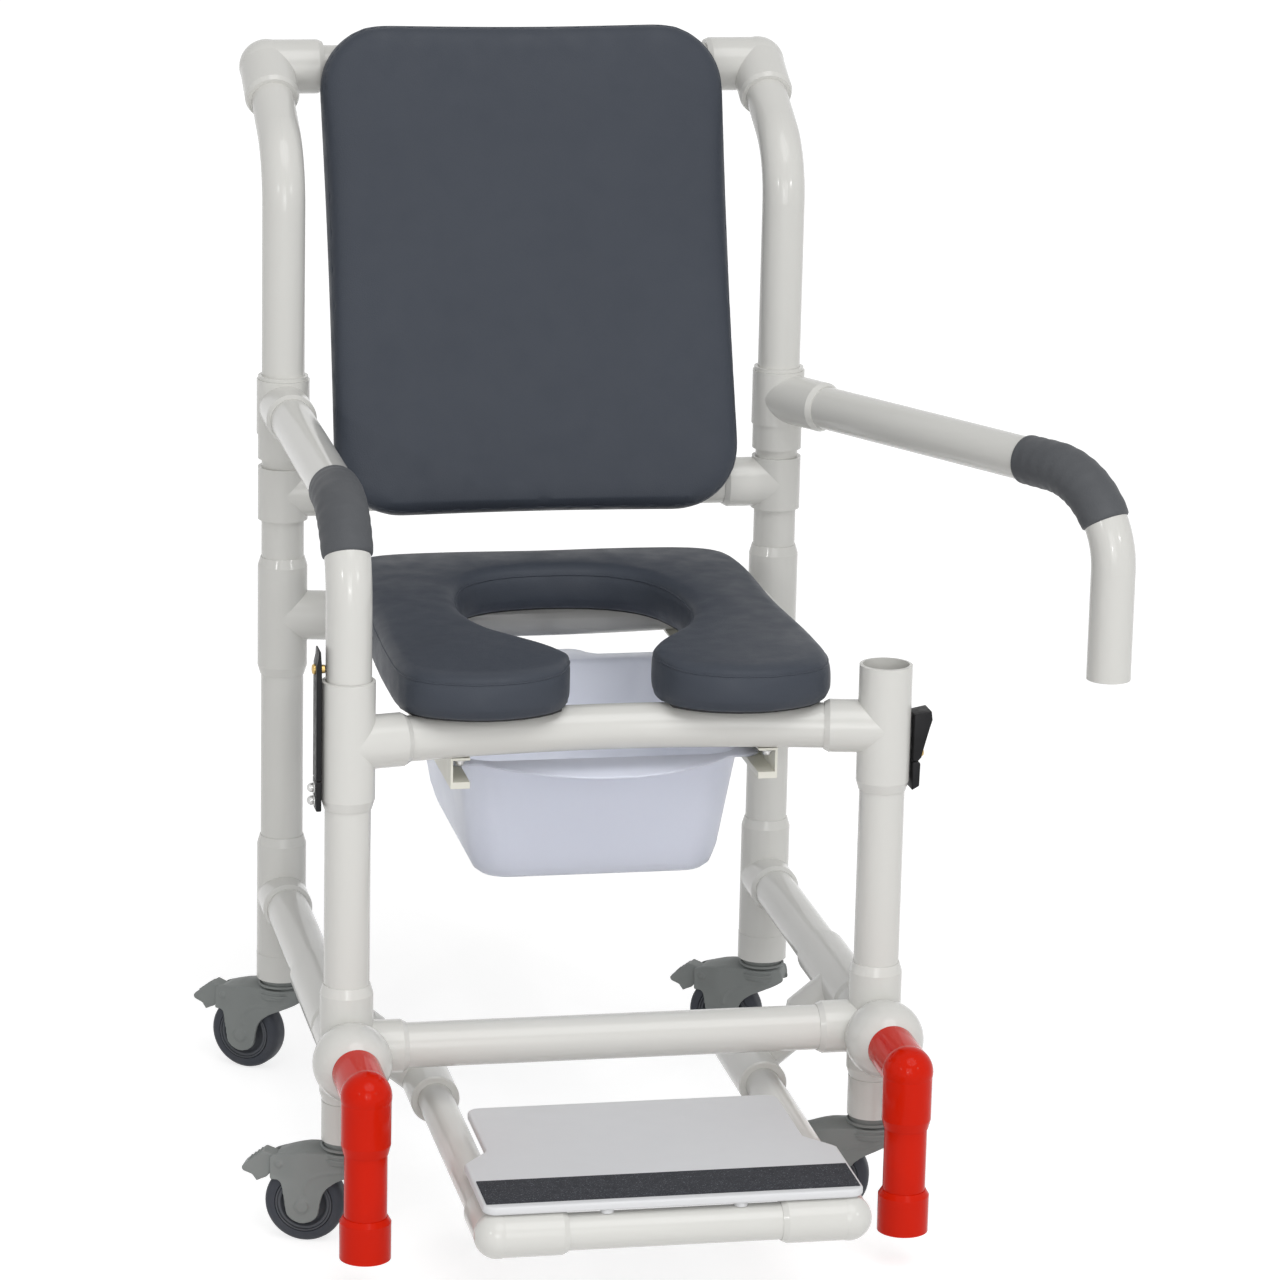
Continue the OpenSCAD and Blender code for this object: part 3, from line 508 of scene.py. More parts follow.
FINISHES: tuple[Finish, ...] = (
    Finish(
        slot="pvc_white", colour=(0.69, 0.685, 0.655), shade=(0.67, 0.665, 0.635), smooth=0.13, rough=0.22,
        tone_scale=5.0, contrast=0.25, wave_scale=25.0, bump=0.02, bump_depth=0.0002, specular=0.35,
        dust_reach=0.10, dust_amount=0.05,
    ),
    Finish(
        slot="leg_red", colour=(0.64, 0.014, 0.002), shade=(0.57, 0.010, 0.0015), smooth=0.08, rough=0.14,
        tone_scale=8.0, contrast=0.3, wave_scale=25.0, bump=0.02, bump_depth=0.0002, specular=0.09,
        dust_reach=0.10, dust_amount=0.02, dust_colour=(0.36, 0.10, 0.07),
    ),
    VinylFinish(
        slot="vinyl_slate", colour=(0.049, 0.057, 0.073), shade=(0.043, 0.050, 0.065), smooth=0.42,
        rough=0.56, tone_scale=11.0, contrast=0.3, bump=0.16, bump_depth=0.0005, specular=0.22,
        grain_scale=430.0,
    ),
    VinylFinish(
        slot="sleeve_slate", colour=(0.100, 0.105, 0.113), shade=(0.076, 0.080, 0.088), smooth=0.48,
        rough=0.64, tone_scale=16.0, bump=0.16, bump_depth=0.0005, specular=0.22, grain_scale=520.0,
    ),
    Finish(
        slot="board_black", colour=(0.024, 0.024, 0.026), shade=(0.028, 0.028, 0.030), smooth=0.45,
        rough=0.62, wave_scale=90.0, pits=0.8, bump=0.2, specular=0.25,
    ),
    Finish(
        slot="screw_steel", colour=(0.62, 0.62, 0.61), shade=(0.48, 0.48, 0.48), smooth=0.29, rough=0.42,
        tone_scale=120.0, metallic=1.0, bump=0.05,
    ),
    Finish(
        slot="stud_brass", colour=(0.60, 0.42, 0.16), shade=(0.46, 0.31, 0.11), smooth=0.29, rough=0.42,
        tone_scale=120.0, metallic=1.0, bump=0.05,
    ),
    Finish(
        slot="strap_black", colour=(0.008, 0.008, 0.009), shade=(0.015, 0.015, 0.017), smooth=0.36,
        rough=0.55, tone_scale=40.0, wave_scale=150.0, pits=0.6, bump=0.2, specular=0.2,
    ),
    Finish(
        slot="rail_cream", colour=(0.78, 0.77, 0.69), shade=(0.72, 0.71, 0.63), smooth=0.34, rough=0.48,
        tone_scale=14.0, bump=0.04,
    ),
    Finish(
        slot="pail_lavender", colour=(0.62, 0.645, 0.730), shade=(0.60, 0.625, 0.710), smooth=0.30,
        rough=0.40, tone_scale=6.0, contrast=0.3, wave_scale=25.0, bump=0.02, bump_depth=0.0002,
        specular=0.4, subsurface=0.9,
    ),
    Finish(
        slot="plate_white", colour=(0.72, 0.725, 0.74), shade=(0.70, 0.705, 0.72), smooth=0.42, rough=0.58,
        tone_scale=12.0, wave_scale=140.0, pits=0.9, bump=0.08,
    ),
    GritFinish(
        slot="strip_dark", colour=(0.034, 0.036, 0.043), shade=(0.042, 0.044, 0.052), smooth=0.72,
        rough=0.88, tone_scale=30.0, bump=0.5, bump_depth=0.0006, specular=0.25,
    ),
    Finish(
        slot="caster_grey", colour=(0.235, 0.250, 0.244), shade=(0.210, 0.223, 0.218), smooth=0.42,
        rough=0.56, tone_scale=26.0, wave_scale=150.0, pits=0.9, bump=0.10, specular=0.3, dust_reach=0.09,
        dust_amount=0.10, dust_colour=(0.30, 0.29, 0.27),
    ),
    Finish(
        slot="wheel_grey", colour=(0.080, 0.086, 0.098), shade=(0.064, 0.069, 0.080), smooth=0.36,
        rough=0.50, tone_scale=30.0, pits=0.7, bump=0.10, specular=0.3, dust_reach=0.07, dust_amount=0.12,
        dust_colour=(0.20, 0.19, 0.18),
    ),
    Finish(
        slot="tread_grey", colour=(0.052, 0.057, 0.070), shade=(0.040, 0.044, 0.054), smooth=0.46,
        rough=0.62, tone_scale=34.0, pits=0.8, bump=0.14, specular=0.25, dust_reach=0.05, dust_amount=0.25,
        dust_colour=(0.17, 0.16, 0.15),
    ),
)


class Wardrobe:
    """The chair's materials by slot, and the dressing of its pieces and carried-over nodes."""

    def __init__(self, frame: dict) -> None:
        """Builds every finish.
        """
        groups = ShaderGroups()
        self.frame = frame
        self.materials = {finish.slot: finish.material(groups) for finish in FINISHES}

    def dress_nodes(self) -> None:
        """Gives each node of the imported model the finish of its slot."""
        for part in self.frame["record"]["subparts"]:
            mesh = self.frame["nodes"][part["node"]].data
            mesh.materials.clear()
            mesh.materials.append(self.materials[part["material_slot"]])

    def dress(self, piece: Piece, slot: str, body: str, replaces: Sequence[str] = ()) -> None:
        """Finishes a piece: its material, the body it rides on and the nodes it stands for.

        Args:
            piece: A mesh in its place in the frame.
            slot: The record's material slot.
            body: The body it moves with.
            replaces: Node names that it stands for.
        """
        piece.data.materials.clear()
        piece.data.materials.append(self.materials[slot])
        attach(piece, body)
        if replaces:
            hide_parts(*replaces)
        LOG.info("%s: %d faces, rides on %s", piece.name, len(piece.data.polygons), body)


# Mesh tools ---------------------------------------------------------------------------------------


def add_piece(name: str, mesh: Mesh) -> Piece:
    """Puts a mesh into the scene as an object at the origin."""
    piece = bpy.data.objects.new(name, mesh)
    bpy.context.scene.collection.objects.link(piece)
    return piece


def mesh_piece(name: str, points: Iterable, faces: Iterable) -> Piece:
    """Makes a closed mesh with its faces outwards.

    Args:
        name: The piece's name.
        points: Corner points, in metres.
        faces: Lists of point numbers.

    Returns:
        The new object.
    """
    mesh = bpy.data.meshes.new(name)
    mesh.from_pydata([tuple(map(float, p)) for p in points], [], [tuple(f) for f in faces])
    work = bmesh.new()
    work.from_mesh(mesh)
    bmesh.ops.remove_doubles(work, verts=work.verts, dist=MERGE_DISTANCE)
    bmesh.ops.recalc_face_normals(work, faces=work.faces)
    work.to_mesh(mesh)
    work.free()
    return add_piece(name, mesh)


def smooth_by_angle(piece: Piece, degrees: float) -> None:
    """Shades a piece smooth except over edges sharper than the angle."""
    piece.data.shade_smooth()
    piece.data.set_sharp_from_angle(angle=math.radians(degrees))


def bake_modifiers(piece: Piece) -> None:
    """Turns a piece and its modifiers into a plain mesh."""
    depsgraph = bpy.context.evaluated_depsgraph_get()
    depsgraph.update()
    mesh = bpy.data.meshes.new_from_object(piece.evaluated_get(depsgraph), depsgraph=depsgraph)
    old = piece.data
    piece.modifiers.clear()
    piece.data = mesh
    mesh.name = piece.name
    bpy.data.meshes.remove(old)


def loft(name: str, rings: Sequence[np.ndarray], loop: bool = False) -> Piece:
    """Skins a row of closed rings that have the same number of points.

    Args:
        name: The piece's name.
        rings: The rings, in order.
        loop: Whether the last ring joins the first; otherwise a face closes each end.

    Returns:
        The new object.
    """
    count = len(rings[0])
    faces = []
    spans = len(rings) if loop else len(rings) - 1
    for i in range(spans):
        k = (i + 1) % len(rings)
        for j in range(count):
            n = (j + 1) % count
            faces.append((i * count + j, i * count + n, k * count + n, k * count + j))
    if not loop:
        last = (len(rings) - 1) * count
        faces.append(tuple(range(count - 1, -1, -1)))
        faces.append(tuple(range(last, last + count)))
    return mesh_piece(name, np.concatenate(rings), faces)


def circle(radius: float, count: int) -> np.ndarray:
    """Draws a circle about the origin, one point a row."""
    angles = np.linspace(0, 2 * math.pi, count, endpoint=False)
    return radius * np.column_stack([np.cos(angles), np.sin(angles)])


def at_height(flat: np.ndarray, z: float) -> np.ndarray:
    """Lifts points in X and Y to a height."""
    return np.column_stack([flat, np.full(len(flat), z)])


def prism(name: str, outline: Sequence[Point], low: float, high: float) -> Piece:
    """Makes a prism along Z from an outline in X and Y.

    Args:
        name: The piece's name.
        outline: The outline's points, in order.
        low: The lower height.
        high: The upper height.

    Returns:
        The new object.
    """
    flat = np.array(outline, float)
    return loft(name, [at_height(flat, z) for z in (low, high)])


def side_prism(name: str, outline: Sequence[Point], low: float, high: float) -> Piece:
    """Makes a prism along Y from an outline in X and Z, between two values of Y."""
    flat = np.array(outline, float)
    rings = [np.column_stack([flat[:, 0], np.full(len(flat), y), flat[:, 1]]) for y in (low, high)]
    return loft(name, rings)


def lathe(name: str, profile: Sequence[Point], steps: int) -> Piece:
    """Turns a closed profile of radius and height about the Z axis.

    Args:
        name: The piece's name.
        profile: Points as radius and height, closed back to the first.
        steps: Faces round the turn.

    Returns:
        The new object.
    """
    flat = np.array(profile, float)
    rings = []
    for k in range(steps):
        a = 2 * math.pi * k / steps
        rings.append(np.column_stack([flat[:, 0] * math.cos(a), flat[:, 0] * math.sin(a), flat[:, 1]]))
    return loft(name, rings, loop=True)


def round_bevel(piece: Piece, width: float, segments: int) -> None:
    """Rounds the sharp edges of a piece and shades it smooth.

    Args:
        piece: The piece.
        width: The round's width.
        segments: Faces across the round.
    """
    bevel = piece.modifiers.new("round", "BEVEL")
    bevel.width = width
    bevel.segments = segments
    bevel.limit_method = "ANGLE"
    bevel.angle_limit = math.radians(BEVEL_ANGLE)
    bake_modifiers(piece)
    smooth_by_angle(piece, MOULD_SHARP)


def moved_copy(source: Piece, name: str, move: Matrix) -> Piece:
    """Copies a piece to another place, with the place in its mesh."""
    mesh = source.data.copy()
    mesh.transform(move)
    return add_piece(name, mesh)


def joined(name: str, parts: Sequence[Piece]) -> Piece:
    """Puts the meshes of several pieces into one object, and uses the pieces up."""
    work = bmesh.new()
    for part in parts:
        work.from_mesh(part.data)
    mesh = bpy.data.meshes.new(name)
    work.to_mesh(mesh)
    work.free()
    for part in parts:
        bpy.data.objects.remove(part)
    return add_piece(name, mesh)


def add_remesh(piece: Piece, voxel: float) -> None:
    """Adds an even remesh of a given size to a piece's modifiers."""
    remesh = piece.modifiers.new("skin", "REMESH")
    remesh.mode = "VOXEL"
    remesh.voxel_size = voxel


def add_soften(piece: Piece, passes: int) -> None:
    """Adds a smoothing with a number of passes to a piece's modifiers."""
    soften = piece.modifiers.new("soften", "SMOOTH")
    soften.factor = 0.5
    soften.iterations = passes


def fuse(name: str, parts: Sequence[Piece], cuts: Sequence[Piece], voxel: float, passes: int) -> Piece:
    """Joins overlapping solids into one moulded skin with soft edges.

    Args:
        name: The new piece's name.
        parts: Solids to join; they are used up.
        cuts: Solids to cut away; they are used up.
        voxel: Size of the remesh.
        passes: Smoothing passes, which round the edges.

    Returns:
        The new object.
    """
    piece = joined(name, parts)
    add_remesh(piece, voxel)
    for cut in cuts:
        bite = piece.modifiers.new("cut", "BOOLEAN")
        bite.operation = "DIFFERENCE"
        bite.solver = "EXACT"
        bite.object = cut
    if cuts:
        add_remesh(piece, voxel)
    add_soften(piece, passes)
    bake_modifiers(piece)
    for cut in cuts:
        bpy.data.objects.remove(cut)
    piece.data.shade_smooth()
    return piece


def spline(points: Sequence[Point], steps: int, closed: bool = True) -> np.ndarray:
    """Runs a smooth curve through points.

    Args:
        points: The points, of any dimension.
        steps: Steps from each point to the next.
        closed: Whether the curve comes back to its start.

    Returns:
        The curve's points, one a row.
    """
    p = np.array(points, float)
    n = len(p)
    rows = np.arange(-1, n + 2)
    rows = rows % n if closed else np.clip(rows, 0, n - 1)
    out = []
    for i in range(n if closed else n - 1):
        a, b, c, d = p[rows[i:i + 4]]
        for k in range(steps):
            t = k / steps
            out.append(0.5 * (2 * b + (c - a) * t + (2 * a - 5 * b + 4 * c - d) * t * t
                              + (3 * b - a - 3 * c + d) * t ** 3))
    if not closed:
        out.append(p[-1])
    return np.array(out)


def sweep(name: str, path: np.ndarray, radii: Sequence[float], sides: int) -> Piece:
    """Sweeps a round section along a path.

    Args:
        name: The piece's name.
        path: The path's points.
        radii: The radius at each point.
        sides: Points round the section.

    Returns:
        The new object, closed at both ends.
    """
    tangents = np.gradient(path, axis=0)
    tangents /= np.linalg.norm(tangents, axis=1)[:, None]
    runs_along_x = abs(tangents[0][0]) >= 0.8
    seed = np.array([0.0, 0.0, 1.0]) if runs_along_x else np.array([1.0, 0.0, 0.0])
    c, s = circle(1.0, sides).T
    rings = []
    for point, along, radius in zip(path, tangents, radii):
        seed = seed - along * np.dot(seed, along)
        seed /= np.linalg.norm(seed)
        across = np.cross(along, seed)
        rings.append(point + radius * (np.outer(c, seed) + np.outer(s, across)))
    return loft(name, rings)


# Geometry node recipes ----------------------------------------------------------------------------


class Recipe:
    """One geometry node tree with named inputs, run on a piece and then baked to a plain mesh."""

    def __init__(self, name: str, inputs: dict[str, float]) -> None:
        """Starts a tree that takes and gives a geometry.

        Args:
            name: The tree's name.
            inputs: Names and default values of its sizes.
        """
        self.tree = bpy.data.node_groups.new(name, "GeometryNodeTree")
        face = self.tree.interface
        face.new_socket(name="Geometry", in_out="INPUT", socket_type=GEOMETRY_SOCKET)
        for key, value in inputs.items():
            kind = "NodeSocketInt" if isinstance(value, int) else FLOAT_SOCKET
            face.new_socket(name=key, in_out="INPUT", socket_type=kind).default_value = value
        face.new_socket(name="Geometry", in_out="OUTPUT", socket_type=GEOMETRY_SOCKET)
        self.inputs = self.tree.nodes.new("NodeGroupInput").outputs
        self.result = self.tree.nodes.new("NodeGroupOutput").inputs["Geometry"]

    def node(self, kind: str, links: dict[str | int, object], **settings: object) -> Node:
        """Adds a node to the tree, as add_node does."""
        return add_node(self.tree, kind, links, **settings)

    def end(self, geometry: Socket, material: Material) -> None:
        """Closes the tree: instances made real, shaded smooth and given a material.

        Args:
            geometry: The last geometry.
            material: The material to set.
        """
        real = self.node("GeometryNodeRealizeInstances", {"Geometry": geometry})
        smooth = self.node("GeometryNodeSetShadeSmooth", {0: real.outputs["Geometry"]})
        dressed = self.node("GeometryNodeSetMaterial", {"Geometry": smooth.outputs[0], "Material": material})
        self.tree.links.new(dressed.outputs["Geometry"], self.result)

    def run(self, piece: Piece, values: dict[str, float] | None = None) -> Piece:
        """Runs the recipe on a piece.

        Args:
            piece: The piece that gives the points or the path.
            values: Sizes by input name, where they aren't the defaults.

        Returns:
            The same object as a plain mesh.
        """
        modifier = piece.modifiers.new(self.tree.name, "NODES")
        modifier.node_group = self.tree
        for item in self.tree.interface.items_tree:
            if item.item_type == "SOCKET" and item.in_out == "INPUT" and item.name in (values or {}):
                modifier[item.identifier] = values[item.name]
        bake_modifiers(piece)
        return piece


def welt_recipe(material: Material) -> Recipe:
    """Makes the recipe that runs a round welt along a seam line."""
    recipe = Recipe("welt", {"Radius": 0.0009, "Pitch": 0.004})
    line = recipe.node("GeometryNodeMeshToCurve", {"Mesh": recipe.inputs["Geometry"]})
    even = recipe.node(
        "GeometryNodeResampleCurve",
        {"Curve": line.outputs["Curve"], "Length": recipe.inputs["Pitch"]},
        mode="LENGTH",
    )
    ring = recipe.node(
        "GeometryNodeCurvePrimitiveCircle", {"Resolution": 10, "Radius": recipe.inputs["Radius"]}
    )
    tube = recipe.node(
        "GeometryNodeCurveToMesh", {"Curve": even.outputs["Curve"], "Profile Curve": ring.outputs["Curve"]}
    )
    recipe.end(tube.outputs["Mesh"], material)
    return recipe


def dome_screw_recipe(material: Material) -> Recipe:
    """Makes the recipe that stands a dome nut on a washer at every point, along the point's normal."""
    recipe = Recipe("dome_screws", dict(zip(DOME_SIZES, (0.0045, 0.004, 0.0065))))
    radius = recipe.inputs["Radius"]
    normal = recipe.node("GeometryNodeInputNamedAttribute", {"Name": "facing"}, data_type="FLOAT_VECTOR")
    turn = recipe.node("FunctionNodeAlignRotationToVector", {"Vector": normal.outputs[0]}, axis="Z")
    washer = recipe.node(
        "GeometryNodeMeshCylinder", {"Vertices": 28, "Radius": recipe.inputs["Washer"], "Depth": 0.0012}
    )
    nut = recipe.node("GeometryNodeMeshCylinder", {"Vertices": 6, "Radius": radius, "Depth": 0.003})
    nut_up = recipe.node(
        "GeometryNodeTransform", {"Geometry": nut.outputs["Mesh"], "Translation": (0, 0, 0.002)}
    )
    dome = recipe.node("GeometryNodeMeshUVSphere", {"Segments": 24, "Rings": 12, "Radius": radius})
    squeeze = recipe.node("ShaderNodeMath", {0: recipe.inputs["Rise"], 1: radius}, operation="DIVIDE")
    scale = recipe.node("ShaderNodeCombineXYZ", {0: 0.9, 1: 0.9, 2: squeeze.outputs[0]})
    dome_up = recipe.node(
        "GeometryNodeTransform",
        {"Geometry": dome.outputs["Mesh"], "Translation": (0, 0, 0.003), "Scale": scale.outputs[0]},
    )
    whole = recipe.node("GeometryNodeJoinGeometry", {})
    for part in (washer.outputs["Mesh"], nut_up.outputs["Geometry"], dome_up.outputs["Geometry"]):
        recipe.tree.links.new(part, whole.inputs[0])
    stand = recipe.node(
        "GeometryNodeInstanceOnPoints",
        {"Points": recipe.inputs["Geometry"], "Instance": whole.outputs[0], "Rotation": turn.outputs[0]},
    )
    recipe.end(stand.outputs["Instances"], material)
    return recipe


def tread_rib_recipe(material: Material) -> Recipe:
    """Makes the recipe that lays a row of round ribs across a brake pedal."""
    recipe = Recipe("pedal_ribs", {"Ribs": 4, "Pitch": 0.0042, "Radius": 0.0009, "Length": 0.014})
    rib = recipe.node(
        "GeometryNodeMeshCylinder",
        {"Vertices": 12, "Radius": recipe.inputs["Radius"], "Depth": recipe.inputs["Length"]},
    )
    step = recipe.node("ShaderNodeCombineXYZ", {0: recipe.inputs["Pitch"]})
    row = recipe.node(
        "GeometryNodeMeshLine", {"Count": recipe.inputs["Ribs"], "Offset": step.outputs[0]}, mode="OFFSET"
    )
    lie = recipe.node(
        "GeometryNodeInstanceOnPoints",
        {"Points": row.outputs["Mesh"], "Instance": rib.outputs["Mesh"], "Rotation": (math.pi / 2, 0, 0)},
    )
    recipe.end(lie.outputs["Instances"], material)
    return recipe


def seam_line(name: str, points: np.ndarray) -> Piece:
    """Makes a bare closed line of edges through points, for a recipe to follow."""
    mesh = bpy.data.meshes.new(name)
    count = len(points)
    mesh.from_pydata([tuple(p) for p in points], [(i, (i + 1) % count) for i in range(count)], [])
    return add_piece(name, mesh)


def facing_points(name: str, points: Sequence[Vector], normals: Sequence[Vector]) -> Piece:
    """Makes loose points that each carry the way they face, for a recipe to stand things on."""
    mesh = bpy.data.meshes.new(name)
    mesh.from_pydata([tuple(p) for p in points], [], [])
    attribute = mesh.attributes.new("facing", "FLOAT_VECTOR", "POINT")
    for item, normal in zip(attribute.data, normals):
        item.vector = normal
    return add_piece(name, mesh)


# Cushions -----------------------------------------------------------------------------------------


def coordinates(mesh: Mesh) -> np.ndarray:
    """Reads the points of a mesh, one a row."""
    flat = np.zeros(len(mesh.vertices) * 3)
    mesh.vertices.foreach_get("co", flat)
    return flat.reshape(-1, 3)


def evened(mesh: Mesh, shift: np.ndarray, passes: int) -> np.ndarray:
    """Evens out a move between neighbouring points, as a taut cover does.

    Args:
        mesh: The mesh whose edges tell which points are neighbours.
        shift: The move of each point.
        passes: How often each point is averaged with its neighbours.

    Returns:
        The calmer move.
    """
    ends = np.empty(2 * len(mesh.edges), dtype=np.int32)
    mesh.edges.foreach_get("vertices", ends)
    a, b = ends.reshape(-1, 2).T
    count = np.bincount(ends, minlength=len(shift))[:, None]
    for _ in range(passes):
        total = np.zeros_like(shift)
        np.add.at(total, a, shift[b])
        np.add.at(total, b, shift[a])
        shift = 0.5 * (shift + total / count)
    return shift


@dataclass(frozen=True)
class Stuffing:
    """How a cushion's skin is swelled by a cloth simulation."""

    voxel: float
    pressure: float
    cap: float
    held: float = 0.003
    passes: int = 3
    mass: float = 0.3
    stretch: float = 30.0
    bending: float = 4.0
    quality: int = 5
    frames: int = 20
    calm: int = 300

    def swell(self, piece: Piece, held: np.ndarray) -> None:
        """Runs the simulation and moves the skin by what it gives, capped and evened.

        Args:
            piece: The closed skin.
            held: Which of its points lie on the board and stay.
        """
        before = coordinates(piece.data)
        group = piece.vertex_groups.new(name="held")
        group.add([int(i) for i in np.flatnonzero(held)], 1.0, "REPLACE")
        cloth = piece.modifiers.new("stuffing", "CLOTH")
        settings = cloth.settings
        settings.quality = self.quality
        settings.mass = self.mass
        settings.tension_stiffness = self.stretch
        settings.compression_stiffness = self.stretch
        settings.bending_stiffness = self.bending
        settings.use_pressure = True
        settings.uniform_pressure_force = self.pressure
        settings.vertex_group_mass = "held"
        settings.effector_weights.gravity = 0.0
        cloth.point_cache.frame_start = 1
        cloth.point_cache.frame_end = self.frames
        scene = bpy.context.scene
        for step in range(1, self.frames + 1):
            scene.frame_set(step)
        evaluated = piece.evaluated_get(bpy.context.evaluated_depsgraph_get())
        shift = coordinates(evaluated.data) - before
        piece.modifiers.clear()
        piece.vertex_groups.clear()
        scene.frame_set(1)
        length = np.linalg.norm(shift, axis=1)
        shift *= np.minimum(1.0, self.cap / np.maximum(length, 1e-9))[:, None]
        piece.data.vertices.foreach_set("co", (before + evened(piece.data, shift, self.calm)).ravel())

    def fill(self, piece: Piece, on_board: Callable[[np.ndarray], np.ndarray]) -> None:
        """Evens a cushion's skin, swells it and leaves a plain mesh.

        Args:
            piece: The closed cushion.
            on_board: Gives, from the points, which of them lie on the board and stay.
        """
        add_remesh(piece, self.voxel)
        add_soften(piece, self.passes)
        bake_modifiers(piece)
        self.swell(piece, on_board(coordinates(piece.data)))
        finer = piece.modifiers.new("finer", "SUBSURF")
        finer.levels = finer.render_levels = 1
        bake_modifiers(piece)
        piece.data.shade_smooth()


def eased(share: np.ndarray) -> np.ndarray:
    """Turns shares of a way into a smooth start and stop between 0 and 1."""
    t = np.clip(share, 0.0, 1.0)
    return t * t * (3 - 2 * t)


def snap(piece: Piece, points: np.ndarray) -> np.ndarray:
    """Brings points to the nearest place on a piece's surface."""
    mesh = piece.data
    tree = BVHTree.FromPolygons([v.co for v in mesh.vertices], [p.vertices for p in mesh.polygons])
    return np.array([tree.find_nearest(Vector(p))[0] for p in points])


def press_groove(piece: Piece, line: np.ndarray, width: float, depth: float) -> None:
    """Presses a soft groove into a cushion along a closed line.

    Args:
        piece: The cushion.
        line: Points of the line on the surface, close together.
        width: Half the groove's width.
        depth: The groove's depth.
    """
    mesh = piece.data
    points = coordinates(mesh)
    normals = np.zeros(len(mesh.vertices) * 3)
    mesh.vertices.foreach_get("normal", normals)
    normals = normals.reshape(-1, 3)
    reach = np.full(len(points), np.inf)
    for chunk in np.array_split(line, max(1, len(line) // GROOVE_CHUNK)):
        near = np.linalg.norm(points[:, None, :] - chunk[None, :, :], axis=2).min(axis=1)
        reach = np.minimum(reach, near)
    dip = depth * np.exp(-((reach / width) ** 2))
    mesh.vertices.foreach_set("co", (points - normals * dip[:, None]).ravel())
    mesh.update()


@dataclass
class SeatCushion:
    """Open-front seat cushion: a horseshoe lofted between an outer and an inner edge."""

    outer: tuple[Point, ...] = (
        (0.000, 0.220), (0.110, 0.220), (0.182, 0.206), (0.201, 0.150), (0.204, 0.000), (0.207, -0.150),
        (0.199, -0.236), (0.149, -0.268), (0.095, -0.267), (0.054, -0.243), (0.040, -0.205),
    )
    inner: tuple[Point, ...] = (
        (0.000, 0.130), (0.052, 0.121), (0.086, 0.092), (0.102, 0.046), (0.106, 0.000), (0.103, -0.042),
        (0.091, -0.080), (0.072, -0.110), (0.054, -0.138), (0.043, -0.165), (0.039, -0.192),
    )
    base_z: float = 0.5026
    height: float = 0.0465
    seam_z: float = 0.5410
    low_seam_z: float = 0.5075
    groove: Point = (0.0032, 0.0005)
    low_groove: Point = (0.0028, 0.0008)
    shrink: float = 0.0020
    full_width: float = 0.060
    steps: int = 5
    stuffing: Stuffing = Stuffing(voxel=0.0048, pressure=1.4, cap=0.0025)

    def edge(self, half: Sequence[Point]) -> np.ndarray:
        """Mirrors half an edge about the middle and smooths it.

        Args:
            half: Points from the middle of the rear to the tip of the right lobe.

        Returns:
            Points from the left lobe's tip round the rear to the right lobe's tip.
        """
        mirrored = [(-x, y) for x, y in reversed(half[1:])]
        return spline([*mirrored, *half], self.steps, closed=False)

    def section(self, width: float) -> np.ndarray:
        """Draws the cushion's section.

        Args:
            width: Distance from the inner edge to the outer one.

        Returns:
            Points as distance from the inner edge and height, up and over.
        """
        e = min(1.0, width / self.full_width)
        h = self.height
        s = self.shrink * e
        side = [(0.012, 0.0), (0.003, 0.0035), (0.0, 0.012), (0.0004, 0.026), (0.0028, h - 0.0095),
                (0.0085, h - 0.0038), (0.018, h - 0.0014)]
        left = [(s + d * e, z) for d, z in side]
        right = [(width - s - d * e, z) for d, z in reversed(side)]
        crown = [(0.35 * width, h - 0.0003), (0.5 * width, h), (0.65 * width, h - 0.0003)]
        return np.array([*left, *crown, *right])

    def skin(self) -> Piece:
        """Lofts the cushion before its stuffing.

        Returns:
            The closed skin.
        """
        rings = []
        for a, b in zip(self.edge(self.inner), self.edge(self.outer)):
            across = b - a
            width = float(np.linalg.norm(across))
            shape = self.section(width)
            flat = a + np.outer(shape[:, 0], across / width)
            rings.append(np.column_stack([flat, self.base_z + shape[:, 1]]))
        return loft("seat_cushion", rings)

    def seam(self, piece: Piece, z: float) -> np.ndarray:
        """Traces a seam round the cushion's side at a height.

        Args:
            piece: The stuffed cushion.
            z: The seam's height.

        Returns:
            Points of the closed seam on the surface.
        """
        loop = np.concatenate([self.edge(self.outer), self.edge(self.inner)[::-1]])
        return snap(piece, at_height(spline(loop, 3), z))

    def build(self, wardrobe: Wardrobe, welt: Recipe) -> None:
        """Makes the cushion and its seams and dresses them.

        Args:
            wardrobe: The materials.
            welt: The recipe for a seam's welt.
        """
        piece = self.skin()
        self.stuffing.fill(piece, lambda p: p[:, 2] < self.base_z + self.stuffing.held)
        upper = self.seam(piece, self.seam_z)
        lower = self.seam(piece, self.low_seam_z)
        press_groove(piece, upper, *self.groove)
        press_groove(piece, lower, *self.low_groove)
        wardrobe.dress(piece, "vinyl_slate", "frame", ["seat_pad"])
        line = welt.run(seam_line("seat_welt", self.seam(piece, self.seam_z)))
        wardrobe.dress(line, "vinyl_slate", "frame")


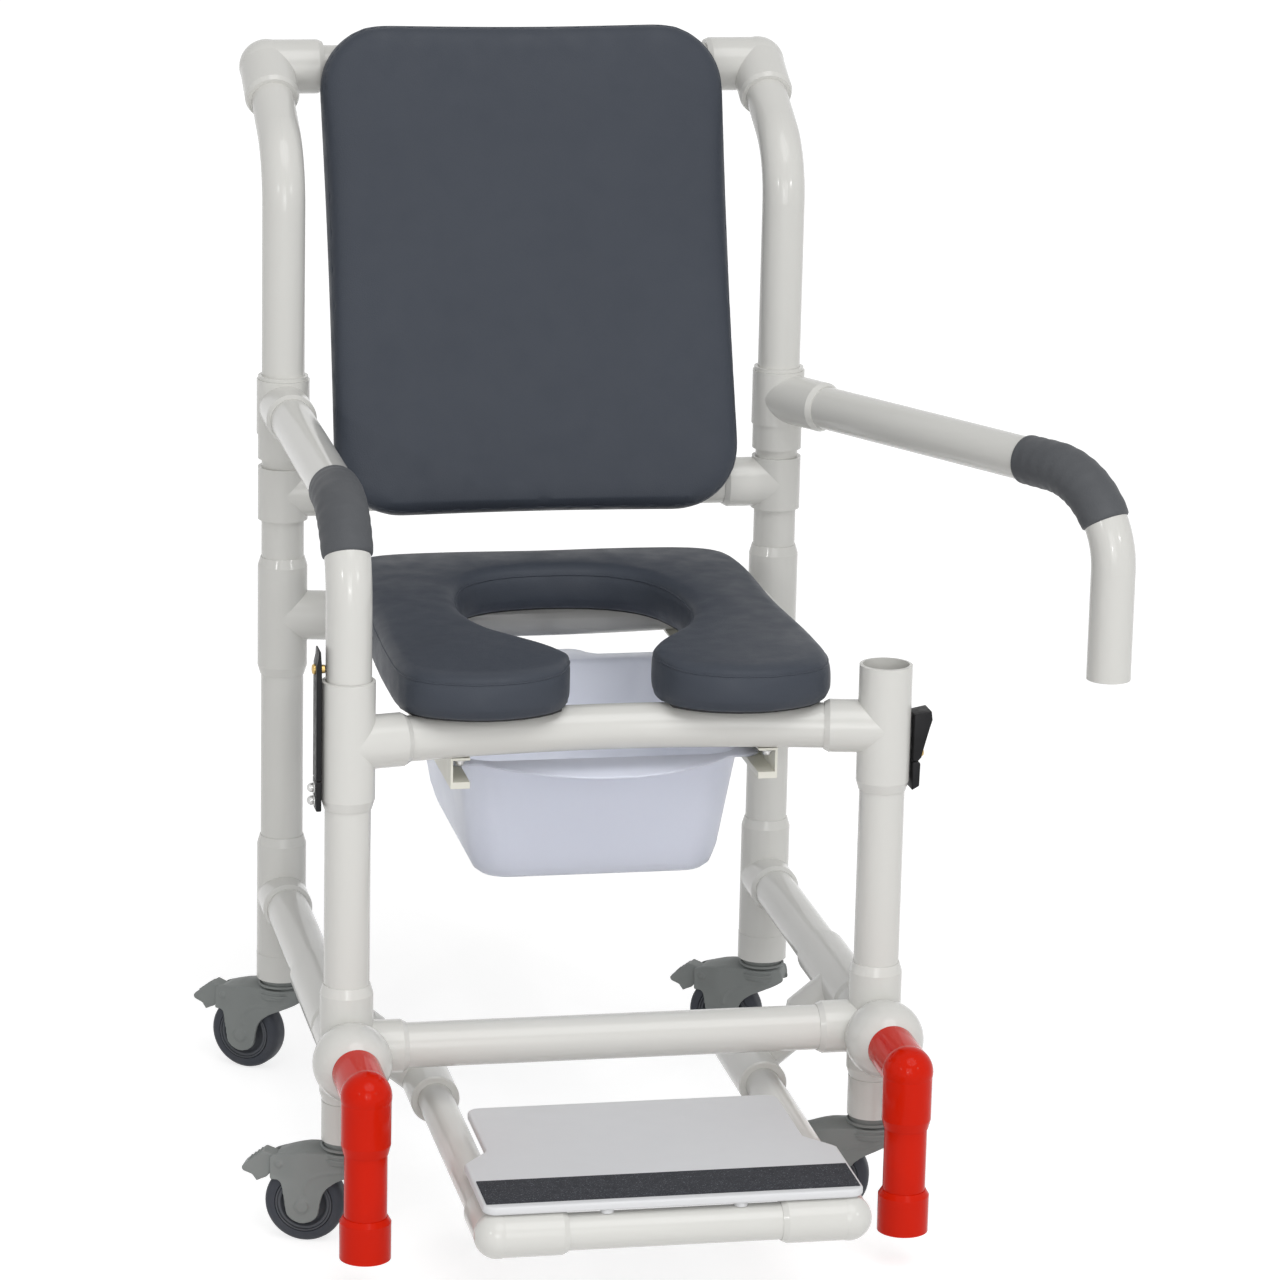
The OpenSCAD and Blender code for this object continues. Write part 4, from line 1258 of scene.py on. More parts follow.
@dataclass
class BackCushion:
    """Raked back cushion with rounded corners, crowned to the front."""

    bar: tuple[float, float, float] = (0.0, POST_Y, 0.605)
    lean: float = math.atan2(RAKE_RUN, RAKE_RISE)
    width: float = 0.410
    tall: float = 0.492
    drop: float = 0.032
    corner: float = 0.066
    least_corner: float = 0.020
    base: float = 0.0235
    front: float = 0.0622
    waist: float = 0.0015
    seam_n: float = 0.0535
    seam_out: float = 0.002
    groove: Point = (0.0034, 0.0010)
    per_corner: int = 10
    per_side: int = 10
    stuffing: Stuffing = Stuffing(voxel=0.0055, pressure=1.2, cap=0.003)

    def place(self) -> Matrix:
        """Gives the turn from X across, Y up the slope and Z forwards to the frame."""
        c, s = math.cos(self.lean), math.sin(self.lean)
        turn = Matrix(((1, 0, 0), (0, s, -c), (0, c, s))).to_4x4()
        return Matrix.Translation(Vector(self.bar)) @ turn

    def outline(self, inset: float, pull: float) -> np.ndarray:
        """Draws the cushion's rounded outline.

        Args:
            inset: How far inside the full outline it runs.
            pull: How far the middles of the sides are drawn in.

        Returns:
            Points as across and up the slope.
        """
        half_w, half_h = self.width / 2 - inset, self.tall / 2 - inset
        r = max(self.corner - inset, self.least_corner)
        signs = ((1, 1), (-1, 1), (-1, -1), (1, -1))

        def on_corner(k: int, a: float) -> np.ndarray:
            """Gives a corner's point at an angle."""
            sx, sy = signs[k % 4]
            return np.array((sx * (half_w - r) + r * math.cos(a), sy * (half_h - r) + r * math.sin(a)))

        points = []
        for k in range(4):
            turns = [math.pi / 2 * (k + j / (self.per_corner - 1)) for j in range(self.per_corner)]
            points += [on_corner(k, a) for a in turns]
            a = math.pi / 2 * (k + 1)
            start, end = points[-1], on_corner(k + 1, a)
            inward = -np.array((math.cos(a), math.sin(a)))
            for t in (j / self.per_side for j in range(1, self.per_side)):
                points.append(start + (end - start) * t + inward * pull * math.sin(math.pi * t))
        return np.array(points) + np.array((0.0, self.tall / 2 - self.drop))

    def ring(self, inset: float, n: float, pull: float = 0.0) -> np.ndarray:
        """Places one outline at a height off the bars' plane, in the frame."""
        flat = self.outline(inset, pull)
        turn = self.place()
        return np.array([turn @ Vector((x, y, n)) for x, y in flat])

    def seam(self, piece: Piece) -> np.ndarray:
        """Traces the seam round the cushion's front edge, on its surface."""
        return snap(piece, self.ring(-self.seam_out, self.seam_n))

    def build(self, wardrobe: Wardrobe, welt: Recipe) -> None:
        """Makes the cushion and its seam and dresses them.

        Args:
            wardrobe: The materials.
            welt: The recipe for a seam's welt.
        """
        b, f = self.base, self.front
        layers = (
            (0.013, b), (0.004, b + 0.003), (0.0015, b + 0.010), (0.0015, f - 0.016), (0.004, f - 0.0085),
            (0.010, f - 0.0036), (0.022, f - 0.0014), (0.060, f - 0.0004), (0.120, f),
        )
        piece = loft("back_cushion", [self.ring(inset, n, self.waist) for inset, n in layers])
        outwards = np.array(self.place().to_3x3() @ Vector((0, 0, 1)))
        origin = np.array(self.bar)
        self.stuffing.fill(piece, lambda p: (p - origin) @ outwards < b + self.stuffing.held)
        press_groove(piece, self.seam(piece), *self.groove)
        wardrobe.dress(piece, "vinyl_slate", "frame", ["back_pad"])
        line = welt.run(seam_line("back_welt", self.seam(piece)))
        wardrobe.dress(line, "vinyl_slate", "frame")


@dataclass
class ArmGrip:
    """Soft sleeve round the bend of an arm tube."""

    side: Side
    lead: float
    swing: float = 0.0
    arm_z: float = 0.6925
    bend_r: float = 0.085
    bend: float = math.radians(59)
    reach: float = 0.476
    radius: float = 0.0236
    round_end: float = 0.0026
    round_length: float = 0.004
    swell: float = 0.0005
    crease: float = 0.00022
    crease_pitch: float = 0.0135
    crease_wander: Point = (0.6, 90.0)
    sides: int = 56

    def path(self) -> np.ndarray:
        """Draws the sleeve's middle line, with the arm closed and the post at the origin.

        Returns:
            Points from the straight end round the bend to the lower end.
        """
        start_y = -(self.reach - self.bend_r)
        straight = [(0.0, start_y + self.lead * (1 - t), self.arm_z) for t in np.linspace(0, 1, 16)[:-1]]
        bend = []
        for a in np.linspace(0, self.bend, 46):
            y = start_y - self.bend_r * math.sin(a)
            z = self.arm_z - self.bend_r * (1 - math.cos(a))
            bend.append((0.0, y, z))
        return np.array([*straight, *bend])

    def build(self, wardrobe: Wardrobe) -> None:
        """Makes the sleeve with rolled ends and faint creases, and dresses it.

        Args:
            wardrobe: The materials.
        """
        path = self.path()
        along = np.concatenate([[0], np.cumsum(np.linalg.norm(np.diff(path, axis=0), axis=1))])
        total = along[-1]
        radii = []
        for s in along:
            near_end = min(min(s, total - s) / self.round_length, 1.0)
            roll = self.round_end * (1 - math.sqrt(max(0.0, 1 - (1 - near_end) ** 2)))
            swell = self.swell * math.sin(math.pi * s / total)
            wander = self.crease_wander[0] * math.sin(s * self.crease_wander[1])
            crease = self.crease * math.sin(2 * math.pi * s / self.crease_pitch + wander)
            radii.append(self.radius - roll + swell + crease)
        word = self.side.word
        piece = sweep(f"{word}_arm_grip", path, radii, self.sides)
        turn = Matrix.Translation(Vector((self.side.value * POST_X, POST_Y, 0)))
        piece.data.transform(turn @ Matrix.Rotation(self.swing, 4, "Z"))
        smooth_by_angle(piece, 60.0)
        wardrobe.dress(piece, "sleeve_slate", f"{word}_arm", [f"{word}_arm_sleeve"])


# Pail ---------------------------------------------------------------------------------------------


@dataclass
class Pail:
    """Moulded pail with a flat rim, a bowed front lip and a rear tab."""

    floor_z: float = 0.3160
    rim_z: float = 0.4359
    rim_t: float = 0.0030
    wall: float = 0.0030
    top: tuple[float, float, float, float] = (0.1340, -0.168, 0.185, 0.036)
    base: tuple[float, float, float, float] = (0.1160, -0.150, 0.130, 0.034)
    rim_half: float = 0.1493
    rim_front: float = -0.174
    rim_rear: float = 0.206
    lip_bow: float = 0.058
    lip_half: float = 0.118
    tab_half: float = 0.052
    tab_rear: float = 0.228
    least_corner: float = 0.004
    floor_middle: float = 0.070
    rays: int = 220
    centre_y: float = 0.005

    def cast(self, outline: np.ndarray) -> np.ndarray:
        """Finds where rays from the pail's middle leave an outline.

        Args:
            outline: Points of a closed outline.

        Returns:
            One point for each ray.
        """
        middle = np.array((0.0, self.centre_y))
        points = outline - middle
        ahead = np.roll(points, -1, axis=0)
        found = []
        for k in range(self.rays):
            a = 2 * math.pi * k / self.rays
            ray = np.array((math.cos(a), math.sin(a)))
            edge = ahead - points
            cross = ray[0] * edge[:, 1] - ray[1] * edge[:, 0]
            safe = np.where(np.abs(cross) < 1e-12, 1.0, cross)
            t = (points[:, 0] * edge[:, 1] - points[:, 1] * edge[:, 0]) / safe
            u = (points[:, 0] * ray[1] - points[:, 1] * ray[0]) / safe
            hit = (np.abs(cross) >= 1e-12) & (t > 0) & (u >= -1e-9) & (u <= 1 + 1e-9)
            found.append(middle + ray * t[hit].max())
        return np.array(found)

    def rounded(self, shape: tuple[float, float, float, float], inset: float) -> np.ndarray:
        """Draws a rounded rectangle given as half width, front, rear and corner radius.

        Args:
            shape: The rectangle.
            inset: How far inside it the outline runs.

        Returns:
            Its outline.
        """
        half, front, rear, r = shape
        half, front, rear, r = half - inset, front + inset, rear - inset, max(r - inset, self.least_corner)
        corners = ((half - r, rear - r), (r - half, rear - r), (r - half, front + r), (half - r, front + r))
        points = []
        for k, (x, y) in enumerate(corners):
            for j in range(13):
                a = math.pi / 2 * (k + j / 12)
                points.append((x + r * math.cos(a), y + r * math.sin(a)))
        return np.array(points)

    def rim_outline(self, grow: float) -> np.ndarray:
        """Draws the rim with its front lip and rear tab.

        Args:
            grow: How far outside the nominal rim it runs.

        Returns:
            Its outline.
        """
        h, f, r = self.rim_half + grow, self.rim_front - grow, self.rim_rear + grow
        t, tr = self.tab_half + grow, self.tab_rear + grow
        points = [(h, f + 0.01), (h, r - 0.012), (h - 0.012, r)]
        points += [(t + 0.014, r), (t + 0.004, r + 0.006), (t, tr - 0.008), (t - 0.008, tr)]
        points += [(-x, y) for x, y in reversed(points)]
        points.append((-h + 0.01, f))
        for x in np.linspace(-1, 1, 41):
            points.append((x * (self.lip_half + grow), f - self.lip_bow * (1 - x * x) ** 0.92))
        points.append((h - 0.01, f))
        return np.array(points)

    def build(self, wardrobe: Wardrobe) -> None:
        """Makes the pail as one closed shell and dresses it.

        Args:
            wardrobe: The materials.
        """
        def level(points: np.ndarray, z: float) -> np.ndarray:
            """Gives an outline's ring at a height, one point for each ray."""
            return at_height(self.cast(points), z)

        def wall(t: float, inset: float, z: float) -> np.ndarray:
            """Gives a ring of the wall, whose outline goes from the base at t 0 to the top at t 1."""
            low, high = np.array(self.base), np.array(self.top)
            return level(self.rounded(tuple(low + (high - low) * t), inset), z)

        top, rim, floor, thick = self.rim_z + self.rim_t, self.rim_z, self.floor_z, self.wall
        deep = rim - floor
        base_outside = ((0.0, self.floor_middle, 0.0), (0.0, 0.018, 0.0), (0.0, 0.008, 0.0012),
                        (0.0, 0.0025, 0.0055), (0.03, 0.0004, 0.012))
        base_inside = ((0.05, thick + 0.0012, 0.0150), (0.0, thick + 0.0070, 0.0060),
                       (0.0, thick + 0.0160, thick), (0.0, self.floor_middle, thick))
        rim_edge = ((-0.0042, rim), (-0.0016, rim), (-0.0004, rim + 0.0006), (0.0, rim + 0.0015),
                    (-0.0005, top - 0.0005), (-0.0018, top))
        rings = [wall(t, inset, floor + z) for t, inset, z in base_outside]
        rings += [wall(t, 0.0, floor + deep * t) for t in (0.2, 0.4, 0.6, 0.8, 0.94)]
        rings += [wall(1.0, -0.0008, rim - 0.0012), wall(1.0, -0.0030, rim - 0.0001)]
        rings += [level(self.rim_outline(grow), z) for grow, z in rim_edge]
        rings += [wall(1.0, -0.0012, top), wall(1.0, 0.0016, top - 0.0010), wall(0.99, thick, top - 0.0050)]
        rings += [wall(t, thick, floor + deep * t) for t in (0.8, 0.6, 0.4, 0.2)]
        rings += [wall(t, inset, floor + z) for t, inset, z in base_inside]
        piece = loft("pail_shell", rings)
        smooth_by_angle(piece, 55.0)
        wardrobe.dress(piece, "pail_lavender", "pail", ["pail"])


# Casters ------------------------------------------------------------------------------------------


@dataclass
class CasterSet:
    """Four locking casters with a moulded fork, a wheel, a soft tyre and a brake pedal."""

    trail: float = 0.037
    wheel_r: float = 0.0375
    tread_r: float = 0.0270
    half: float = 0.0120
    leg_in: float = 0.0150
    leg_out: float = 0.0190
    pedal: tuple[float, float] = (-0.060, 0.076)
    pedal_half: float = 0.0090
    barrel_half: float = 0.0095
    pedal_top: tuple[Point, Point] = ((-0.0945, 0.0710), (-0.0760, 0.0855))
    side: tuple[Point, ...] = (
        (0.0180, 0.0942), (0.0235, 0.0915), (0.0252, 0.0840), (0.0249, 0.0778), (0.0080, 0.0692),
        (-0.0060, 0.0622), (-0.0160, 0.0530), (-0.0200, 0.0410), (-0.0223, 0.0290), (-0.0285, 0.0228),
        (-0.0370, 0.0205), (-0.0455, 0.0228), (-0.0517, 0.0290), (-0.0540, 0.0420), (-0.0568, 0.0560),
        (-0.0608, 0.0600), (-0.0682, 0.0608), (-0.0688, 0.0700), (-0.0688, 0.0770), (-0.0680, 0.0832),
        (-0.0540, 0.0890), (-0.0410, 0.0928), (-0.0300, 0.0942), (0.0000, 0.0944),
    )
    roof: tuple[Point, ...] = (
        (0.0180, 0.0942), (0.0232, 0.0915), (0.0244, 0.0850), (0.0236, 0.0785), (0.0190, 0.0780),
        (-0.0430, 0.0780), (-0.0442, 0.0833), (-0.0632, 0.0836), (-0.0636, 0.0842), (-0.0540, 0.0890),
        (-0.0410, 0.0928), (-0.0300, 0.0942),
    )
    housing: tuple[Point, ...] = (
        (0.0207, 0.0810), (0.0221, 0.0820), (0.0225, 0.0838), (0.0225, 0.0930), (0.0217, 0.0946),
        (0.0205, 0.0950),
    )
    bands: tuple[Point, ...] = ((0.0946, 0.0229), (0.0898, 0.0232), (0.0850, 0.0235))
    band_inner: float = 0.0211
    rib: tuple[Point, ...] = (
        (-0.0345, 0.0500), (-0.0335, 0.0590), (-0.0275, 0.0665), (-0.0150, 0.0712), (0.0040, 0.0742),
        (0.0230, 0.0800),
    )
    pedal_side: tuple[Point, ...] = (
        (-0.0620, 0.0816), (-0.0668, 0.0825), (-0.0760, 0.0855), (-0.0945, 0.0710), (-0.0968, 0.0680),
        (-0.0955, 0.0648), (-0.0920, 0.0635), (-0.0865, 0.0615), (-0.0823, 0.0556), (-0.0775, 0.0580),
        (-0.0730, 0.0600), (-0.0695, 0.0640), (-0.0650, 0.0700), (-0.0620, 0.0720),
    )
    rib_r: float = 0.0013
    axle_r: float = 0.0062
    pin_r: float = 0.0034
    boss: float = 0.0024
    barrel_r: float = 0.0055
    stem_room: tuple[float, float, float] = (0.0086, 0.070, 0.110)
    overlap: float = 0.001
    sink: float = 0.0002
    fork_voxel: float = 0.00095
    pedal_voxel: float = 0.00085
    passes: int = 2
    brow_drop: float = 0.0042
    brow_start: float = 0.076
    nose: tuple[float, float] = (0.004, 0.0250)
    tail: tuple[float, float, float] = (-0.040, -0.066, 0.30)
    tail_start: float = 0.052
    ease: float = 0.014
    ring_at: float = 0.0258
    ring_half: tuple[float, float] = (0.0009, 0.0006)
    rib_inset: float = 0.006

    def cylinder_y(self, name: str, centre: Point, radius: float, low: float, high: float) -> Piece:
        """Makes a round bar along Y between two values of Y, about a point in X and Z."""
        return side_prism(name, np.array(centre) + circle(radius, 48), low, high)

    def fork(self) -> Piece:
        """Moulds the fork about the swivel axis.

        Returns:
            The fork at the origin.
        """
        side = spline(self.side, 4)
        parts = [
            side_prism("leg", side, self.leg_in, self.leg_out),
            side_prism("leg", side, -self.leg_out, -self.leg_in),
            side_prism("roof", self.roof, -self.leg_in - self.overlap, self.leg_in + self.overlap),
            loft("housing", [at_height(circle(r, 64), z) for r, z in self.housing]),
        ]
        rib = spline(self.rib, 6, closed=False)
        for y in (self.leg_out - self.sink, self.sink - self.leg_out):
            path = np.column_stack([rib[:, 0], np.full(len(rib), y), rib[:, 1]])
            parts.append(sweep("rib", path, [self.rib_r] * len(path), 12))
            low, high = sorted((y, y + math.copysign(self.boss, y)))
            parts.append(self.cylinder_y("axle_end", (-self.trail, self.wheel_r), self.axle_r, low, high))
            parts.append(self.cylinder_y("pin_end", self.pedal, self.pin_r, low, high))
        radius, low, high = self.stem_room
        bore = prism("stem_room", circle(radius, 56), low, high)
        mould = fuse("mould", parts, [bore], self.fork_voxel, self.passes)
        self.draw_in(mould)
        return joined("fork_mould", [mould, *(self.band(z, r) for z, r in self.bands)])

    def draw_in(self, mould: Piece) -> None:
        """Rounds the fork's nose seen from above, narrows its tail and domes its brow.

        Args:
            mould: The fork with straight sides.
        """
        x, y, z = coordinates(mould.data).T
        start, reach = self.nose
        ahead = np.clip((x - start) / reach, 0.0, 0.95)
        root, end, share = self.tail
        behind = eased((root - x) / (root - end)) * eased((z - self.tail_start) / self.ease)
        drawn = y * np.sqrt(1 - ahead ** 2) * (1 - share * behind)
        outwards = np.minimum(np.abs(drawn) / self.leg_out, 1.0)
        drop = self.brow_drop * outwards ** 2 * eased((z - self.brow_start) / self.ease)
        mould.data.vertices.foreach_set("co", np.column_stack([x, drawn, z - drop]).ravel())
        mould.data.update()

    def band(self, z: float, radius: float) -> Piece:
        """Turns one of the raised bands round the fork's housing.

        Args:
            z: The band's height.
            radius: Its outer radius.

        Returns:
            The band about the swivel axis.
        """
        inner = self.band_inner
        profile = [
            (inner, z - 0.0014), (radius - 0.0004, z - 0.0014), (radius, z - 0.0009), (radius, z + 0.0007),
            (radius - 0.0005, z + 0.0013), (inner + 0.0004, z + 0.0014), (inner, z + 0.0010),
        ]
        piece = lathe("band", profile, 72)
        smooth_by_angle(piece, MOULD_SHARP)
        return piece

    def brake(self) -> Piece:
        """Moulds the brake pedal about the swivel axis.

        Returns:
            The pedal at the origin.
        """
        parts = [
            side_prism("plate", self.pedal_side, -self.pedal_half, self.pedal_half),
            self.cylinder_y("barrel", self.pedal, self.barrel_r, -self.barrel_half, self.barrel_half),
        ]
        return fuse("pedal_mould", parts, [], self.pedal_voxel, self.passes)

    def turned(self, name: str, profile: Sequence[Point]) -> Piece:
        """Turns a profile of radius and width about the axle and puts it in place.

        Args:
            name: The piece's name.
            profile: Points as radius and distance along the axle.

        Returns:
            The piece about the swivel axis.
        """
        piece = lathe(name, profile, 80)
        onto_axle = Matrix.Translation((-self.trail, 0, self.wheel_r)) @ Matrix.Rotation(math.pi / 2, 4, "X")
        piece.data.transform(onto_axle)
        smooth_by_angle(piece, 40.0)
        return piece

    def both_faces(self, name: str, face: Sequence[Point]) -> Piece:
        """Turns a profile that is the same on both faces of the wheel, from one half of it."""
        return self.turned(name, [*face, *((r, -y) for r, y in reversed(face))])

    def wheel(self) -> Piece:
        """Turns the wheel's centre, with a recessed web and a raised ring.

        Returns:
            The wheel's centre about the swivel axis.
        """
        h = self.half
        face = [
            (0.0052, h), (0.0098, h), (0.0106, h - 0.0008), (0.0112, h - 0.0040), (0.0122, h - 0.0048),
            (0.0196, h - 0.0048), (0.0206, h - 0.0040), (0.0216, h - 0.0006), (0.0224, h), (0.0240, h),
            (0.0248, h - 0.0006), (0.0256, h - 0.0016), (0.0262, h - 0.0016), (self.tread_r, h - 0.0008),
        ]
        return self.both_faces("wheel_centre", face)

    def tyre(self) -> Piece:
        """Turns the tyre, with rounded shoulders and a flat running face.

        Returns:
            The tyre about the swivel axis.
        """
        h, r, inner = self.half, self.wheel_r, self.tread_r
        face = [
            (inner, h - 0.0010), (inner + 0.0006, h), (r - 0.0052, h + 0.0002), (r - 0.0034, h - 0.0005),
            (r - 0.0018, h - 0.0018), (r - 0.0007, h - 0.0036), (r - 0.0001, h - 0.0060), (r, h - 0.0090),
        ]
        return self.both_faces("tyre", face)

    def rings(self) -> Piece:
        """Turns the thin moulded ring that stands on each face of the wheel.

        Returns:
            Both rings about the swivel axis.
        """
        section = circle(1.0, 12) * self.ring_half
        faces = (self.half, -self.half)
        return joined("wheel_ring", [self.turned("ring", section + (self.ring_at, y)) for y in faces])

    def build(self, wardrobe: Wardrobe, ribs: Recipe) -> None:
        """Makes each kind of piece once, copies it to the four corners and dresses it.

        Args:
            wardrobe: The materials.
            ribs: The recipe for the ribs on a pedal.
        """
        kinds = (
            ("caster_fork", self.fork(), "caster_grey", "caster"),
            ("caster_pedal", self.brake(), "caster_grey", "pedal"),
            ("caster_wheel", self.wheel(), "wheel_grey", "wheel"),
            ("caster_tyre", self.tyre(), "tread_grey", "wheel"),
        )
        ring = self.rings()
        tip, root = (Vector((x, 0.0, z)) for x, z in self.pedal_top)
        along = (root - tip).normalized()
        slope = Matrix.Rotation(-math.atan2(along.z, along.x), 4, "Y")
        lay = Matrix.Translation(tip + along * self.rib_inset) @ slope
        for corner in Corner:
            word = corner.value
            for node, source, slot, body in kinds:
                piece = moved_copy(source, f"{node}_look_{word}", corner.stand)
                wardrobe.dress(piece, slot, f"{body}_{word}", [f"{node}_{word}"])
            trim = moved_copy(ring, f"wheel_ring_{word}", corner.stand)
            wardrobe.dress(trim, "wheel_grey", f"wheel_{word}")
            row = ribs.run(facing_points(f"pedal_ribs_{word}", [Vector()], [Vector((0, 0, 1))]))
            row.data.transform(corner.stand @ lay)
            wardrobe.dress(row, "caster_grey", f"pedal_{word}")
        for source in (ring, *(kind[1] for kind in kinds)):
            bpy.data.objects.remove(source)


# Latches and screws -------------------------------------------------------------------------------


@dataclass
class Latches:
    """Rubber latch straps on the front tees: the left one fastened, the right one hanging bunched up."""

    inner: float = 0.0257
    thick: float = 0.0050
    wide: float = 0.0240
    foot_z: float = 0.420
    flex_z: float = 0.448
    gap: float = 0.0004
    tip_z: float = 0.570
    stud_z: float = 0.551
    nut_z: tuple[float, float] = (0.428, 0.440)
    nut_size: tuple[float, float, float] = (0.0044, 0.0035, 0.0056)
    bunch: tuple[Point, ...] = (
        (0.0000, 0.4484), (0.0050, 0.4484), (0.0082, 0.4520), (0.0092, 0.4570), (0.0150, 0.4790),
        (0.0176, 0.4876), (0.0165, 0.4963), (0.0000, 0.4930),
    )
    bunch_foot: tuple[Point, ...] = (
        (0.0000, 0.4205), (0.0070, 0.4245), (0.0075, 0.4462), (0.0056, 0.4478), (0.0000, 0.4478),
    )
    bunch_stud: tuple[float, float] = (0.0099, 0.454)
    edge: float = 0.0011

    def strap(self, name: str, side: Side, outline: Sequence[Point]) -> Piece:
        """Gives a strap's outline its width and rounds its edges.

        Args:
            name: The piece's name.
            side: The side of the chair.
            outline: Points as distance outwards from the post's axis and height.

        Returns:
            The strap in place.
        """
        placed = [(side.value * (POST_X + x), z) for x, z in outline]
        piece = side_prism(name, placed, -POST_Y - self.wide / 2, -POST_Y + self.wide / 2)
        round_bevel(piece, self.edge, 3)
        return piece

    def fastened(self) -> list[Point]:
        """Draws the left strap, upright with a tapered tip."""
        a, b, foot, tip = self.inner, self.inner + self.thick, self.flex_z + self.gap, self.tip_z
        return [
            (a, foot), (b, foot), (b, 0.540), (b - 0.0002, 0.556), (b - 0.0018, 0.563), (b - 0.0022, tip),
            (b - 0.0040, tip), (b - 0.0044, 0.563), (a, 0.556),
        ]

    def stud(self, name: str, side: Side, at: float, z: float, profile: Sequence[Point]) -> Piece:
        """Turns a stud about X.

        Args:
            name: The piece's name.
            side: The side of the chair.
            at: Distance of the stud's root from the post's axis.
            z: The stud's height.
            profile: Closed points as radius and distance outwards.

        Returns:
            The stud in place.
        """
        piece = lathe(name, profile, 32)
        turn = Matrix.Rotation(math.pi / 2 * side.value, 4, "Y")
        piece.data.transform(Matrix.Translation((side.value * (POST_X + at), -POST_Y, z)) @ turn)
        smooth_by_angle(piece, 35.0)
        return piece

    def build(self, wardrobe: Wardrobe, domes: Recipe) -> None:
        """Makes the straps, their anchors, studs and dome nuts and dresses them.

        Args:
            wardrobe: The materials.
            domes: The recipe for dome nuts.
        """
        a, b = self.inner, self.inner + self.thick
        square = [(a, self.foot_z), (b, self.foot_z), (b, self.flex_z), (a, self.flex_z)]
        bunch, bunch_foot = ([(a + x, z) for x, z in shape] for shape in (self.bunch, self.bunch_foot))
        for side, outline, foot in ((Side.LEFT, self.fastened(), square), (Side.RIGHT, bunch, bunch_foot)):
            word = side.word
            strap = self.strap(f"{word}_strap", side, outline)
            wardrobe.dress(strap, "strap_black", f"{word}_latch", [f"{word}_latch_strap"])
            anchor = self.strap(f"{word}_strap_foot", side, foot)
            wardrobe.dress(anchor, "strap_black", "frame", ["latch_anchors"])
        pin_in = self.inner - PIPE_R - self.gap
        head = self.thick
        pin = [
            (0.0001, -pin_in), (0.0034, -pin_in), (0.0040, 0.0006 - pin_in), (0.0040, 0.0), (0.0030, 0.0),
            (0.0030, head), (0.0048, head), (0.0048, head + 0.0012), (0.0038, head + 0.0026),
            (0.0001, head + 0.0032),
        ]
        left = self.stud("left_stud", Side.LEFT, self.inner, self.stud_z, pin)
        wardrobe.dress(left, "stud_brass", "left_latch", ["left_latch_stud"])
        cap = [(0.0001, -0.0030), (0.0040, -0.0030), (0.0040, 0.0012), (0.0031, 0.0025), (0.0001, 0.0030)]
        at, z = self.bunch_stud
        right = self.stud("right_stud", Side.RIGHT, self.inner + at, z, cap)
        wardrobe.dress(right, "stud_brass", "right_latch", ["right_latch_stud"])
        points = [Vector((-POST_X - b - self.gap, -POST_Y, z)) for z in self.nut_z]
        seats = facing_points("latch_nuts", points, [Vector((-1, 0, 0))] * len(points))
        nuts = domes.run(seats, dict(zip(DOME_SIZES, self.nut_size)))
        wardrobe.dress(nuts, "screw_steel", "frame", ["frame_screws"])


@dataclass
class BackScrews:
    """Dome screws that hold the back board to its bars, and the pail rails to the seat bars."""

    back: BackCushion
    across: float = 0.120
    handle_s: float = math.hypot(RAKE_RUN, RAKE_RISE)
    rail_x: float = 0.1440
    rail_z: float = 0.4555
    bar_y: float = 0.2185
    clear: float = 0.0003
    head_size: tuple[float, float, float] = (0.0042, 0.0026, 0.0058)

    def build(self, wardrobe: Wardrobe, domes: Recipe) -> None:
        """Makes the screws and dresses them.

        Args:
            wardrobe: The materials.
            domes: The recipe for dome heads.
        """
        place = self.back.place()
        points, normals = [], []
        for x in (-self.across, self.across):
            for s in (0.0, self.handle_s):
                points.append(place @ Vector((x, s, -PIPE_R - self.clear)))
                normals.append(place.to_3x3() @ Vector((0, 0, -1)))
        for x in (-self.rail_x, self.rail_x):
            for y in (-self.bar_y, self.bar_y):
                points.append(Vector((x, y, self.rail_z)))
                normals.append(Vector((0, 0, -1)))
        seats = facing_points("frame_screw_heads", points, normals)
        heads = domes.run(seats, dict(zip(DOME_SIZES, self.head_size)))
        wardrobe.dress(heads, "screw_steel", "frame", ["frame_screws"])


# Footrest -----------------------------------------------------------------------------------------


